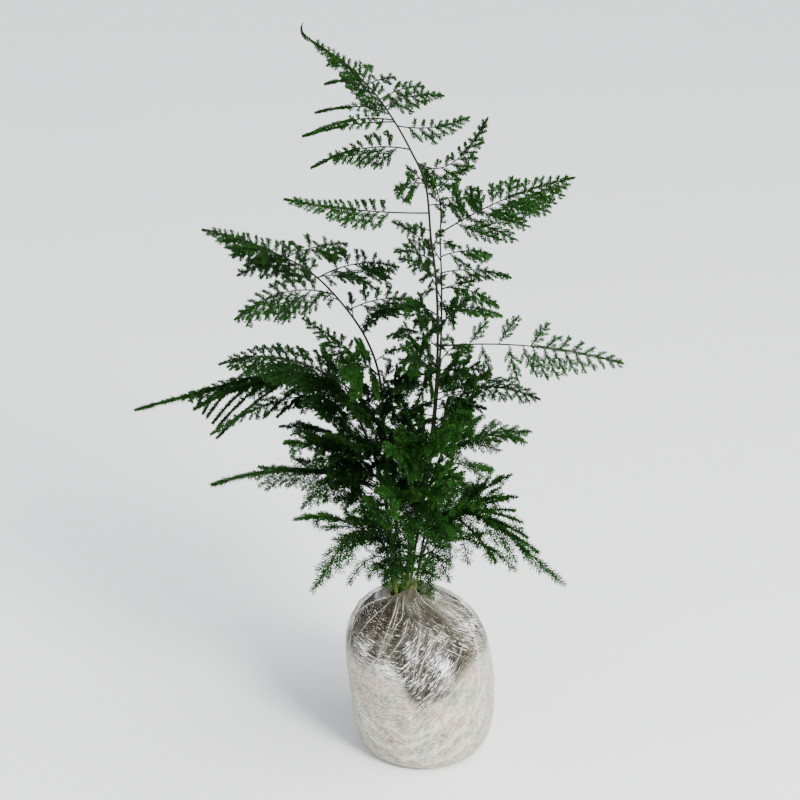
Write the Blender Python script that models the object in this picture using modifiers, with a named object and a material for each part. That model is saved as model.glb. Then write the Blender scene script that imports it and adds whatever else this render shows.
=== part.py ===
"""Lace fern: leafy stems rising from a soil root ball that is wrapped in clear stretch film.

Metres, +Z up.  The origin is the centre of the flat underside, on the surface that the
ball stands on.  Each leafy stem is one body: a round stem, the arched ribs of its sprays,
and on every rib the side twigs and needles that are drawn out of the rib's own faces.
"""
import math
import random

import bmesh
import bpy
import numpy as np
from mathutils import Matrix, Vector

MM = 0.001

# Root ball and film
BALL_SIDES = 32
FILM_WALL = 0.8
FILM_GAP = 0.35
NECK = (-9.0, 2.0)
PLEATS = 13
PLEAT_HEIGHT = 1.5
PLEAT_DRIFT = 0.7
PLEAT_LOW = 0.15
PLEAT_FULL = 0.65
TENT_HEIGHT = 8.0
TENT_LEAN = 0.8
NECK_PLEATS = 0.4
TENT_ANGLE = -68.0
TENT_WIDTH = 34.0
LAP_ANGLE = -12.0
LAP_SPAN = 40.0
LAP_HEIGHT = 1.6
LAP_LEVEL = 0.4
LAP_REACH = 0.35
# Height, radius, and centre (right, away) of each ring of the film, in mm, from the base up
FILM_RINGS = [
    (0.0, 31.5, 1.0, 0.0),
    (3.0, 36.5, 1.4, 0.0),
    (13.0, 40.0, 1.6, 0.0),
    (27.0, 41.4, 1.2, 0.0),
    (42.0, 41.9, 0.0, 0.0),
    (55.0, 41.8, -1.5, 0.2),
    (66.0, 40.3, -2.8, 0.5),
    (75.0, 37.4, -4.0, 0.8),
    (82.5, 32.4, -5.2, 1.2),
    (88.5, 25.4, -6.8, 1.6),
    (92.5, 18.2, -8.2, 1.9),
    (95.5, 13.6, -9.0, 2.0),
    (98.5, 12.3, -9.0, 2.0),
]
SOIL_RINGS_SHARED = 10
SOIL_TOP_RINGS = [(90.4, 17.0), (92.4, 11.5), (93.2, 6.0)]
SOIL_TOP = 93.4
SOIL_LUMPS = 0.9
SOIL_MARGIN = 0.3

# Stems
STEM_SINK = 20.0
STEM_STEP = 14.0
HOLE_CLEAR = 0.35
HOLE_TOP = 105.0
HOLE_SIDES = 8

# Sprays
RIB_BASE = 0.78
RIB_TIP = 0.45
RIB_SINK = 3.0
TWIG_ROOT = 1.5
TWIG_ROOT_TIP = 1.0
TWIG_STEP = 12.5
FIRST_PAIR = 0.75
LAST_PAIR = 0.35
TWIG_ANGLE_BASE = 62.0
TWIG_ANGLE_TIP = 40.0
TWIG_HANG = 0.12
NEEDLE = 3.6
NEEDLE_ANGLE = 42.0
NEEDLE_DOWN = -0.35
ANGLE_SPREAD = 6.0
RISE_SPREAD = 0.12
TIP_WHORLS = 2
LONG_SPRAY = 55.0
WHORL_STEP = 3.2
CLEARANCE = 0.5
SEED = 7

# Each stem: radius at the soil and at the top, then points (right, away, up) in mm
STEMS = {
    "stem_tall": (1.3, 0.75, [
        (-9, 2, 96), (-5, 7, 127), (1, 9, 163), (6, 9, 200), (8, 8, 242), (7, 6, 280),
        (4, 5, 305), (1, 3, 335), (-7, 0, 355), (-16, -3, 372), (-26, -6, 387),
        (-39, -10, 401), (-52, -14, 411), (-59, -16, 422)]),
    "stem_second": (1.25, 0.75, [
        (-6.5, 8, 95), (-2, 15, 129), (5, 20, 170), (8, 20, 207), (10, 18, 244),
        (10, 16, 276), (9, 16, 301), (9, 18, 320), (5, 21, 332), (-1, 24, 340)]),
    "stem_left": (1.25, 0.75, [
        (-14.5, -1.5, 98), (-18, -5, 133), (-20, -9, 172), (-21, -13, 210),
        (-23, -17, 237), (-29, -20, 258), (-39, -22, 276), (-54, -25, 295),
        (-70, -28, 307), (-95, -32, 319), (-110, -35, 324)]),
    "stem_low_left": (1.2, 0.7, [
        (-14, 5.5, 97), (-18, 9, 132), (-24, 12, 167), (-30, 13, 186), (-38, 10, 207),
        (-47, 6, 222), (-63, 0, 232), (-84, -8, 234), (-110, -16, 230), (-151, -24, 221)]),
    "stem_low_right": (1.1, 0.7, [
        (-4.5, -4, 99), (2, -12, 134), (12, -18, 156), (25, -24, 160), (39, -30, 155),
        (52, -34, 146), (63, -38, 137), (76, -42, 126)]),
    "stem_mid_right": (1.1, 0.7, [
        (-3.5, 3, 98), (1, 13, 123), (7, 22, 150), (11, 27, 170), (27, 30, 178),
        (45, 30, 183), (61, 28, 184)]),
    "stem_front": (1.1, 0.7, [
        (-9, -4.5, 98), (-8, -16, 127), (-6, -26, 157), (-3, -36, 186), (0, -46, 207),
        (2, -58, 224)]),
    "stem_low_front": (1.0, 0.7, [
        (-13.5, -6, 98), (-17, -14, 122), (-23, -24, 143), (-35, -38, 150),
        (-44, -50, 152), (-51, -60, 145), (-58, -68, 137)]),
    "stem_back": (1.1, 0.7, [
        (-10.5, 10, 95), (-13, 22, 118), (-19, 36, 143), (-24, 50, 162), (-28, 62, 172),
        (-34, 74, 177)]),
}

# Where each stem turns into the rib of its own end spray: the number of the stem point, the
# half width of that spray as a share of its length, and how far its front edge dips
LEADERS = {
    "stem_tall": (10, 0.24, 0), "stem_second": (7, 0.40, 0), "stem_left": (7, 0.20, 10),
    "stem_low_left": (4, 0.15, 10), "stem_low_right": (2, 0.15, 0),
    "stem_mid_right": (3, 0.30, 10), "stem_front": (3, 0.30, 0),
    "stem_low_front": (2, 0.18, 0), "stem_back": (3, 0.40, 0),
}

# Each spray: height where its rib leaves the stem, its tip (right, away, up), how far the
# rib arches above a straight line, all in mm, then the half width of the spray as a share
# of its length, and how far its front edge dips, in degrees
SPRAYS = {
    "stem_tall": [
        (399, (-47, -30, 405), 2, 0.20, 0), (387, (-48, -34, 397), 3, 0.16, 0),
        (397, (-26, 14, 394), 1, 0.25, 0), (390, (-15, 20, 387), 1, 0.25, 0),
        (382, (0, 22, 382), 2, 0.25, 0), (378, (10, 18, 378), 3, 0.28, 0),
        (377, (-53, -30, 382), 2, 0.12, 0), (370, (-60, -18, 367), 2, 0.12, 0),
        (371, (-53, -46, 377), 3, 0.10, 0), (368, (23, 14, 368), -3, 0.26, 10),
        (355, (-56, -22, 352), 5, 0.26, 20), (348, (32, 4, 370), -12, 0.26, 0),
        (336, (-15, -34, 344), 2, 0.30, 0), (320, (-70, -20, 335), -2, 0.26, 25),
        (299, (-16, -38, 329), 2, 0.30, 0), (292, (-15, -46, 316), 3, 0.30, 0),
        (244, (106, -6, 240), 5, 0.28, 40), (253, (22, -50, 293), 2, 0.30, 0),
        (262, (-13, -56, 291), 3, 0.35, 0), (233, (-12, -60, 263), 4, 0.35, 0),
        (229, (22, -44, 250), 2, 0.30, 0), (196, (24, -44, 224), 5, 0.30, 0),
        (184, (-15, -48, 215), 5, 0.30, 0), (160, (17, -34, 179), 4, 0.30, 0)],
    "stem_second": [
        (305, (77, 4, 339), 4, 0.30, 25), (283, (47, 22, 278), 3, 0.30, 0),
        (292, (38, 44, 283), 3, 0.35, 0), (274, (41, 20, 262), 4, 0.32, 10),
        (262, (44, 40, 249), 3, 0.30, 0), (322, (32, 50, 310), 3, 0.35, 0),
        (327, (26, 22, 340), 2, 0.35, 0), (276, (-13, 50, 279), 4, 0.30, 0),
        (211, (62, -10, 221), 6, 0.30, 20), (207, (38, 34, 209), 2, 0.25, 0),
        (267, (-1, 70, 270), 3, 0.35, 0), (237, (-13, 60, 233), 4, 0.35, 0),
        (222, (36, -12, 236), 4, 0.30, 15), (230, (24, 48, 227), 4, 0.35, 0),
        (170, (33, 44, 186), 4, 0.30, 0), (150, (-10, 56, 150), 5, 0.30, 0)],
    "stem_left": [
        (314, (-98, -62, 327), 2, 0.14, 0), (307, (-94, -72, 327), 2, 0.14, 0),
        (302, (-91, -60, 309), 4, 0.24, 0), (285, (-94, -52, 283), 8, 0.32, 20),
        (307, (-49, 14, 296), 2, 0.30, 0), (295, (-13, 16, 286), 5, 0.28, 0),
        (276, (0, -8, 274), 5, 0.30, 15), (265, (-14, -44, 285), 3, 0.30, 0),
        (211, (-103, -50, 258), 16, 0.30, 15), (237, (-63, -10, 267), 2, 0.30, 10),
        (237, (-42, -70, 262), 6, 0.35, 0), (222, (-2, -70, 255), 5, 0.30, 0),
        (200, (-44, -58, 243), 6, 0.30, 0), (186, (-14, -64, 213), 6, 0.30, 0),
        (172, (-50, -48, 218), 6, 0.30, 0)],
    "stem_low_left": [
        (186, (-69, -20, 224), 6, 0.32, 15), (177, (-77, -6, 203), 5, 0.28, 15),
        (167, (-73, -36, 207), 6, 0.30, 15), (156, (-112, -30, 180), 10, 0.24, 15),
        (150, (-64, -44, 173), 14, 0.20, 0), (198, (-13, 50, 206), 4, 0.30, 0),
        (207, (-52, 50, 218), 4, 0.30, 0), (224, (-120, -34, 227), 8, 0.12, 10),
        (219, (-112, -42, 225), 8, 0.12, 10), (213, (-107, -50, 221), 9, 0.12, 10),
        (138, (-68, -8, 184), 8, 0.28, 10), (160, (-56, 36, 172), 6, 0.30, 0)],
    "stem_low_right": [
        (134, (48, -66, 149), 10, 0.28, 10), (152, (46, -44, 193), 2, 0.24, 20),
        (152, (48, -60, 188), 4, 0.24, 10), (123, (13, -70, 144), 10, 0.22, 0),
        (115, (5, -50, 122), 8, 0.20, 0)],
    "stem_mid_right": [
        (170, (26, 10, 209), 2, 0.30, 0), (161, (41, 60, 144), 5, 0.30, 0),
        (144, (35, 50, 130), 6, 0.30, 0), (123, (28, 30, 117), 6, 0.30, 10),
        (155, (0, 80, 161), 4, 0.30, 0)],
    "stem_front": [
        (142, (13, -80, 174), 8, 0.30, 0), (157, (-20, -84, 199), 6, 0.30, 0),
        (171, (19, -80, 208), 6, 0.30, 0), (193, (-20, -80, 224), 5, 0.30, 0),
        (204, (15, -84, 237), 4, 0.30, 0)],
    "stem_low_front": [
        (126, (-39, -60, 137), 8, 0.20, 0), (114, (-21, -52, 131), 5, 0.20, 0),
        (138, (-67, -60, 175), 8, 0.24, 0), (126, (-8, -66, 143), 6, 0.22, 0),
        (142, (-27, -74, 191), 6, 0.25, 0)],
    "stem_back": [
        (118, (-47, 40, 105), 8, 0.30, 0), (128, (18, 70, 106), 6, 0.30, 0),
        (143, (-53, 60, 138), 6, 0.30, 0), (152, (6, 90, 130), 5, 0.30, 0),
        (162, (-59, 66, 161), 5, 0.30, 0), (166, (0, 94, 168), 4, 0.30, 0)],
}


def clear_scene():
    """Remove every object that the file opens with."""
    for obj in list(bpy.data.objects):
        bpy.data.objects.remove(obj, do_unlink=True)


def make_collection(name):
    """A new collection linked to the scene."""
    group = bpy.data.collections.new(name)
    bpy.context.scene.collection.children.link(group)
    return group


def make_material(name, colour, roughness, metallic=0.0):
    """A plain Principled material."""
    material = bpy.data.materials.new(name)
    material.use_nodes = True
    shader = material.node_tree.nodes["Principled BSDF"]
    shader.inputs["Base Color"].default_value = (*colour, 1.0)
    shader.inputs["Roughness"].default_value = roughness
    shader.inputs["Metallic"].default_value = metallic
    return material


def mesh_object(name, mesh, group, material=None):
    """An object for a mesh, in its collection."""
    obj = bpy.data.objects.new(name, mesh)
    group.objects.link(obj)
    if material is not None:
        mesh.materials.clear()
        mesh.materials.append(material)
    return obj


def applied_boolean(obj, operation, group, solver):
    """Apply one Boolean of a whole collection to an object, then empty the collection."""
    cut = obj.modifiers.new("join" if operation == "UNION" else "cut", "BOOLEAN")
    cut.operation = operation
    cut.operand_type = "COLLECTION"
    cut.collection = group
    cut.solver = solver
    depsgraph = bpy.context.evaluated_depsgraph_get()
    mesh = bpy.data.meshes.new_from_object(obj.evaluated_get(depsgraph))
    obj.modifiers.clear()
    obj.data = mesh
    for used in list(group.objects):
        bpy.data.objects.remove(used, do_unlink=True)


def wrapped(angle):
    """An angle in degrees brought into -180 to 180."""
    return (angle + 180.0) % 360.0 - 180.0


def film_bulge(angle, level):
    """How far a pleat or the free edge of the film stands out, in mm.

    Pleats are a squared sine round the ball whose spacing drifts, strongest at the
    shoulder (level 1 is the neck, 0 the base); the lap is a step that ramps back down.
    """
    turn = math.radians(angle)
    ridge = math.sin(0.5 * PLEATS * turn + PLEAT_DRIFT * math.sin(2.0 * turn))
    strength = max(0.0, min(1.0, (level - PLEAT_LOW) / (PLEAT_FULL - PLEAT_LOW)))
    past = wrapped(angle - LAP_ANGLE)
    lap = LAP_HEIGHT * (1.0 - past / LAP_SPAN) if 0.0 <= past < LAP_SPAN else 0.0
    lap_fade = max(0.0, 1.0 - abs(level - LAP_LEVEL) / LAP_REACH)
    return PLEAT_HEIGHT * strength * ridge ** 2 + lap * lap_fade


def ball_mesh(name, rings, place, open_top):
    """A uvsphere whose rings of vertices are moved to the heights and radii given."""
    shape = bmesh.new()
    bmesh.ops.create_uvsphere(
        shape, u_segments=BALL_SIDES, v_segments=len(rings) + 1, radius=1.0)
    step = math.pi / (len(rings) + 1)
    poles = []
    for vert in shape.verts:
        index = round((math.pi - math.acos(max(-1.0, min(1.0, vert.co.z)))) / step) - 1
        if 0 <= index < len(rings):
            vert.co = place(index, math.degrees(math.atan2(vert.co.y, vert.co.x)))
        else:
            poles.append(vert)
    for vert in poles:
        if vert.co.z < 0.0:
            vert.co = Vector((rings[0][2], rings[0][3], rings[0][0])) * MM
        elif not open_top:
            vert.co = Vector((NECK[0], NECK[1], SOIL_TOP)) * MM
        else:
            bmesh.ops.delete(shape, geom=[vert], context="VERTS")
    bmesh.ops.recalc_face_normals(shape, faces=shape.faces)
    mesh = bpy.data.meshes.new(name)
    shape.to_mesh(mesh)
    shape.free()
    return mesh


def make_film(group, material):
    """The film: an open pleated bag, thickened inwards, with a peak in front of the stems."""
    last = len(FILM_RINGS) - 1

    def place(index, angle):
        height, radius, right, away = FILM_RINGS[index]
        turn = math.radians(angle)
        radius += film_bulge(angle, index / last) * min(1.0, index / 2.0)
        peak = math.exp(-(wrapped(angle - TENT_ANGLE) / TENT_WIDTH) ** 2)
        if index == last:
            radius += TENT_LEAN * peak - (1.0 - NECK_PLEATS) * film_bulge(angle, 1.0)
        height += TENT_HEIGHT * peak * max(0.0, index - last + 2) / 2.0
        return Vector((
            right + radius * math.cos(turn), away + radius * math.sin(turn), height)) * MM

    mesh = ball_mesh("film_wrap", FILM_RINGS, place, open_top=True)
    film = mesh_object("film_wrap", mesh, group, material)
    wall = film.modifiers.new("wall", "SOLIDIFY")
    wall.thickness = FILM_WALL * MM
    wall.offset = -1.0
    wall.use_even_offset = False
    film.data.shade_smooth()
    return film


def make_root_ball(group, cutters, material, stem_bases):
    """The soil: fills the film with a small gap, slightly lumpy, with a hole for each stem."""
    inset = FILM_WALL + FILM_GAP
    rings = [(inset, FILM_RINGS[0][1] - inset, *FILM_RINGS[0][2:])]
    for below, ring, over in zip(FILM_RINGS, FILM_RINGS[1:SOIL_RINGS_SHARED], FILM_RINGS[2:]):
        slope = math.hypot(over[0] - below[0], over[1] - below[1])
        height = ring[0] + (inset + SOIL_MARGIN) * (over[1] - below[1]) / slope
        radius = ring[1] - (inset + SOIL_MARGIN) * (over[0] - below[0]) / slope
        rings.append((height, radius, *ring[2:]))
    rings += [(h, r, *NECK) for h, r in SOIL_TOP_RINGS]

    def place(index, angle):
        height, radius, right, away = rings[index]
        turn = math.radians(angle)
        lump = 0.5 + 0.5 * math.sin(5.0 * turn + 1.9 * index) * math.cos(3.0 * turn - index)
        if 1 < index < SOIL_RINGS_SHARED:
            radius -= SOIL_LUMPS * lump
        return Vector((
            right + radius * math.cos(turn), away + radius * math.sin(turn), height)) * MM

    mesh = ball_mesh("root_ball", rings, place, open_top=False)
    ball = mesh_object("root_ball", mesh, group, material)
    for index, (x, y, radius) in enumerate(stem_bases):
        hole = bmesh.new()
        bottom = SOIL_TOP - STEM_SINK - HOLE_CLEAR
        depth = HOLE_TOP - bottom
        wide = (radius + HOLE_CLEAR) / math.cos(math.pi / HOLE_SIDES)
        bmesh.ops.create_cone(
            hole, cap_ends=True, segments=HOLE_SIDES, radius1=wide * MM, radius2=wide * MM,
            depth=depth * MM,
            matrix=Matrix.Translation(Vector((x, y, bottom + depth / 2.0)) * MM))
        cutter_mesh = bpy.data.meshes.new("stem_hole_%d" % index)
        hole.to_mesh(cutter_mesh)
        hole.free()
        cutter = mesh_object(cutter_mesh.name, cutter_mesh, cutters)
        cutter.hide_render = True
        cutter.display_type = "WIRE"
    applied_boolean(ball, "DIFFERENCE", cutters, "EXACT")
    ball.data.shade_smooth()
    return ball


def smooth_route(points, spacing):
    """Points about every spacing along a Catmull-Rom curve through the given points."""
    knots = np.array(points, dtype=float)
    knots = np.vstack([2 * knots[0] - knots[1], knots, 2 * knots[-1] - knots[-2]])
    fine = []
    for a, b, c, d in zip(knots, knots[1:], knots[2:], knots[3:]):
        t = np.linspace(0.0, 1.0, 24, endpoint=False)[:, None]
        fine.append(0.5 * (2 * b + (c - a) * t + (2 * a - 5 * b + 4 * c - d) * t ** 2
                           + (3 * b - a - 3 * c + d) * t ** 3))
    fine = np.vstack(fine + [knots[-2:-1]])
    along = np.concatenate([[0.0], np.cumsum(np.linalg.norm(np.diff(fine, axis=0), axis=1))])
    count = max(2, round(along[-1] / spacing) + 1)
    marks = np.linspace(0.0, along[-1], count)
    return np.stack([np.interp(marks, along, fine[:, k]) for k in range(3)], axis=1)


def stem_route(name):
    """The stem's own line: straight in its hole, then the smooth curve."""
    points = STEMS[name][2]
    foot = np.array([points[0][0], points[0][1], SOIL_TOP - STEM_SINK])
    return np.vstack([foot, smooth_route(points, STEM_STEP)])


def stem_radius(name, height):
    """The stem's radius at a height: it tapers evenly to the top."""
    low, high, points = STEMS[name]
    share = (height - points[0][2]) / (max(p[2] for p in points) - points[0][2])
    return low + (high - low) * max(0.0, min(1.0, share))


def stem_mesh_object(name, material, group):
    """The stem: a bevelled poly curve with filled caps, made a mesh and welded.

    It ends where the rib of its own end spray takes over.
    """
    route = stem_route(name)
    turn_point = np.array(STEMS[name][2][LEADERS[name][0]], dtype=float)
    last = int(np.linalg.norm(route - turn_point, axis=1).argmin())
    route = np.vstack([route[:last], turn_point])
    curve = bpy.data.curves.new(name, "CURVE")
    curve.dimensions = "3D"
    curve.bevel_depth = MM
    curve.bevel_resolution = 1
    curve.use_fill_caps = True
    spline = curve.splines.new("POLY")
    spline.points.add(len(route) - 1)
    for point, place in zip(spline.points, route):
        point.co = (*(place * MM), 1.0)
        point.radius = stem_radius(name, place[2])
    guide = bpy.data.objects.new(name, curve)
    group.objects.link(guide)
    depsgraph = bpy.context.evaluated_depsgraph_get()
    mesh = bpy.data.meshes.new_from_object(guide.evaluated_get(depsgraph))
    matrix = guide.matrix_world.copy()
    bpy.data.objects.remove(guide, do_unlink=True)
    bpy.data.curves.remove(curve)
    shape = bmesh.new()
    shape.from_mesh(mesh)
    bmesh.ops.remove_doubles(shape, verts=shape.verts, dist=0.00005)
    bmesh.ops.recalc_face_normals(shape, faces=shape.faces)
    shape.to_mesh(mesh)
    shape.free()
    obj = mesh_object(name, mesh, group, material)
    obj.matrix_world = matrix
    return obj


def point_at_height(route, height):
    """Where a stem first reaches a height."""
    for low, high in zip(route, route[1:]):
        if low[2] <= height <= high[2]:
            return low + (high - low) * (height - low[2]) / max(high[2] - low[2], 1e-6)
    raise ValueError("no such height on the stem")


def side_rib(route, spray):
    """The rib of a side spray: a parabola from the stem to the tip, as a function of share."""
    height, tip, lift = spray[:3]
    start = point_at_height(route, height)
    tip = np.array(tip, dtype=float)
    middle = (start + tip) / 2.0 + np.array([0.0, 0.0, 2.0 * lift])

    def rib(share):
        return (1 - share) ** 2 * start + 2 * share * (1 - share) * middle + share ** 2 * tip

    return rib


def end_rib(name):
    """The rib of a stem's own end spray: the last stretch of the stem's smooth curve."""
    points = STEMS[name][2]
    fine = smooth_route(points, 2.0)
    along = np.concatenate([[0.0], np.cumsum(np.linalg.norm(np.diff(fine, axis=0), axis=1))])
    turn_point = np.array(points[LEADERS[name][0]], dtype=float)
    begin = along[np.linalg.norm(fine - turn_point, axis=1).argmin()]

    def rib(share):
        mark = begin + (along[-1] - begin) * share
        return np.array([np.interp(mark, along, fine[:, k]) for k in range(3)])

    return rib


def twig_reach(share):
    """How long a twig is along a rib, against the spray's half width.

    It rises over the first quarter of the rib and then falls evenly to a short tip.
    """
    return min(1.0, 0.62 + 1.6 * share) * (1.08 - share) / 0.85


def plan_spray(rib, spread, dip, draw, begin=0.0):
    """Work out one spray: the stations of its rib, each with a frame, radius and spikes.

    Pairs of twigs leave the rib at even steps, longest at a quarter of its length, with a
    needle above each pair, and whorls of needles follow each other at its end.
    """
    tip = rib(1.0)
    line = np.array([rib(share) for share in np.linspace(0.0, 1.0, 13)])
    length = float(np.linalg.norm(np.diff(line, axis=0), axis=1).sum())
    whorls = TIP_WHORLS if length > LONG_SPRAY else 1
    pairs = max(2, round((length - whorls * WHORL_STEP) / TWIG_STEP))
    free = length - whorls * WHORL_STEP
    marks = [(free * (k + FIRST_PAIR) / (pairs + LAST_PAIR), "pair") for k in range(pairs)]
    marks += [(length - (whorls - k) * WHORL_STEP, "whorl") for k in range(whorls)]
    stations = []
    for place, kind in marks:
        share = place / length
        size = TWIG_ROOT + (TWIG_ROOT_TIP - TWIG_ROOT) * share
        stations.append((share - 0.5 * size / length, None, 0.0))
        spikes = []
        if kind == "pair":
            reach = spread * length * twig_reach(share)
            angle = TWIG_ANGLE_BASE + (TWIG_ANGLE_TIP - TWIG_ANGLE_BASE) * share
            for side in (-1, 1):
                turn = math.radians(angle + draw.uniform(-ANGLE_SPREAD, ANGLE_SPREAD))
                long = max(NEEDLE, reach / math.sin(turn) * draw.uniform(0.85, 1.1))
                rise = draw.uniform(-RISE_SPREAD, RISE_SPREAD)
                spikes.append((side, turn, rise, long, TWIG_HANG))
            spikes.append((0, math.radians(NEEDLE_ANGLE), 1.0, NEEDLE, 0.0))
        else:
            for side, rise in ((-1, NEEDLE_DOWN), (1, NEEDLE_DOWN), (0, 1.0)):
                spikes.append((side, math.radians(NEEDLE_ANGLE), rise, NEEDLE, 0.0))
        stations.append((share + 0.5 * size / length, spikes, size))
    planned = []
    for share, spikes, size in [(begin / length, None, 0.0)] + stations:
        along = rib(min(1.0, share + 0.01)) - rib(share - 0.01)
        along /= np.linalg.norm(along)
        near = np.cross(along, (0.0, 0.0, 1.0))
        near /= np.linalg.norm(near)
        if near[1] > 0.0:
            near = -near
        above = np.cross(near, along)
        above *= math.copysign(1.0, above[2])
        lean = math.radians(dip)
        near, above = (math.cos(lean) * near - math.sin(lean) * above,
                       math.cos(lean) * above + math.sin(lean) * near)
        radius = RIB_BASE + (RIB_TIP - RIB_BASE) * share
        grown = []
        for side, turn, rise, long, hang in spikes or []:
            out = near * side + above * rise
            out /= np.linalg.norm(out)
            way = along * math.cos(turn) + out * math.sin(turn)
            root = rib(share - 0.5 * size / length) + out * radius * 0.4
            grown.append([side, root, way * long - np.array([0.0, 0.0, hang * long])])
        planned.append({"at": rib(share), "along": along, "near": near, "above": above,
                        "radius": radius, "spikes": grown})
    return {"stations": planned, "tip": tip}


def samples(start, end, step=1.0):
    """Evenly spaced points on a straight line."""
    count = max(2, int(np.linalg.norm(end - start) / step) + 1)
    return start + (end - start) * np.linspace(0.0, 1.0, count)[:, None]


def core_points(route, sprays):
    """Points all along a leafy stem's stem and ribs."""
    cloud = [samples(a, b) for a, b in zip(route, route[1:])]
    for spray in sprays:
        spots = [s["at"] for s in spray["stations"]] + [spray["tip"]]
        cloud += [samples(a, b) for a, b in zip(spots, spots[1:])]
    return np.vstack(cloud)


def keep_clear(plans, routes):
    """Shorten or drop each twig that would come too near another leafy stem."""
    cores = {name: core_points(routes[name], plans[name]) for name in plans}
    settled = []
    for name, sprays in plans.items():
        others = np.vstack([cores[other] for other in plans if other != name] + settled)
        grown = []
        for spray in sprays:
            for station in spray["stations"]:
                kept = []
                for side, root, way in station["spikes"]:
                    for share in (1.0, 0.8, 0.6, 0.4):
                        line = samples(root, root + way * share)
                        apart = np.linalg.norm(line[:, None] - others[None], axis=2).min()
                        if apart > 2.0 * RIB_BASE + CLEARANCE:
                            kept.append([side, root, way * share])
                            grown.append(line)
                            break
                station["spikes"] = kept
        settled.append(np.vstack(grown))


def frame_matrix(station):
    """The place of a rib's section: X towards the near side, Y above, Z along the rib."""
    rows = [[station[axis][k] for axis in ("near", "above", "along")] for k in range(3)]
    turn = Matrix(rows).to_4x4()
    size = Matrix.Diagonal((station["radius"] * MM,) * 3 + (1.0,))
    return Matrix.Translation(Vector(station["at"]) * MM) @ turn @ size


def spray_mesh(name, spray):
    """A spray: a triangle drawn along the rib, whose faces are poked out into spikes."""
    stations = spray["stations"]
    shape = bmesh.new()
    bmesh.ops.create_circle(shape, cap_ends=True, segments=3, radius=1.0)
    for vert in shape.verts:
        angle = math.atan2(vert.co.y, vert.co.x)
        vert.co = Vector((math.cos(angle), math.sin(angle), 0.0))
    low = min(shape.verts, key=lambda vert: vert.co.y)
    bmesh.ops.rotate(
        shape, verts=shape.verts, cent=(0, 0, 0),
        matrix=Matrix.Rotation(math.radians(-90.0) - math.atan2(low.co.y, low.co.x), 3, "Z"))
    end = shape.faces[:][0]
    first = placed = frame_matrix(stations[0])
    bmesh.ops.transform(shape, matrix=placed, verts=end.verts)
    pokes = []
    for station in stations[1:]:
        before = set(shape.faces)
        drawn = bmesh.ops.extrude_face_region(shape, geom=[end])
        new_end = [f for f in drawn["geom"] if isinstance(f, bmesh.types.BMFace)][0]
        target = frame_matrix(station)
        bmesh.ops.transform(shape, matrix=target @ placed.inverted(), verts=new_end.verts)
        walls = [f for f in shape.faces if f not in before and f is not new_end]
        if placed is not first:
            bmesh.ops.delete(shape, geom=[end], context="FACES_ONLY")
        placed, end = target, new_end
        for side, root, way in station["spikes"]:
            out = Vector(station["near"]) * side + Vector(station["above"]) * (side == 0)
            wall = max(walls, key=lambda f: (f.calc_center_median() - placed.translation)
                       .dot(out))
            pokes.append((wall, Vector(root + way) * MM))
    pokes.append((end, Vector(spray["tip"]) * MM))
    for wall, apex in pokes:
        bmesh.ops.poke(shape, faces=[wall])["verts"][0].co = apex
    bmesh.ops.recalc_face_normals(shape, faces=shape.faces)
    mesh = bpy.data.meshes.new(name)
    shape.to_mesh(mesh)
    shape.free()
    return mesh


def make_leafy_stem(name, sprays, group, joined, material):
    """One leafy stem: its stem with all its sprays joined by one union."""
    stem = stem_mesh_object(name, material, group)
    for index, spray in enumerate(sprays):
        mesh = spray_mesh("%s_spray_%d" % (name, index), spray)
        mesh_object(mesh.name, mesh, joined, material)
    applied_boolean(stem, "UNION", joined, "MANIFOLD")
    return stem


def main():
    clear_scene()
    parts = make_collection("lace_fern")
    cutters = make_collection("cutters")
    joined = make_collection("sprays_to_join")
    film = make_material("clear_film", (0.86, 0.85, 0.82), 0.2)
    soil = make_material("dark_peat", (0.09, 0.055, 0.035), 0.95)
    leaf = make_material("fern_green", (0.16, 0.32, 0.08), 0.55)

    bases = [(points[0][0], points[0][1], low) for low, _, points in STEMS.values()]
    make_root_ball(parts, cutters, soil, bases)
    make_film(parts, film)

    draw = random.Random(SEED)
    routes = {name: stem_route(name) for name in STEMS}
    plans = {}
    for name in STEMS:
        spread, dip = LEADERS[name][1:]
        plans[name] = [plan_spray(end_rib(name), spread, dip, draw, begin=-RIB_SINK)]
        for spray in SPRAYS[name]:
            plans[name].append(plan_spray(side_rib(routes[name], spray), *spray[3:], draw))
    keep_clear(plans, routes)
    for name, sprays in plans.items():
        make_leafy_stem(name, sprays, parts, joined, leaf)


main()
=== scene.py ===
"""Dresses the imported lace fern: feathery sprays on its stems, and its soil in creased film."""

import math

import bpy
import numpy as np
from bpy.props import FloatProperty, FloatVectorProperty, IntProperty, PointerProperty
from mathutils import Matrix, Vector


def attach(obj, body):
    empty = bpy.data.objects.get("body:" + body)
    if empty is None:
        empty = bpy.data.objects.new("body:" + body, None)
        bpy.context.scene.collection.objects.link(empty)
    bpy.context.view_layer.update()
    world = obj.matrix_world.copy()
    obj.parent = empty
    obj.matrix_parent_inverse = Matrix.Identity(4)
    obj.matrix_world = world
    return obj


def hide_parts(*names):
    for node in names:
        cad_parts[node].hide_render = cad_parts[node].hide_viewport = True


bl_info = {
    "name": "Lace Fern Dresser",
    "version": (1, 0, 0),
    "blender": (4, 5, 0),
    "location": "View3D > Sidebar > Lace Fern",
    "description": "Grows the needles, twigs, soil and creased film of a young lace fern",
    "category": "Object",
}

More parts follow.
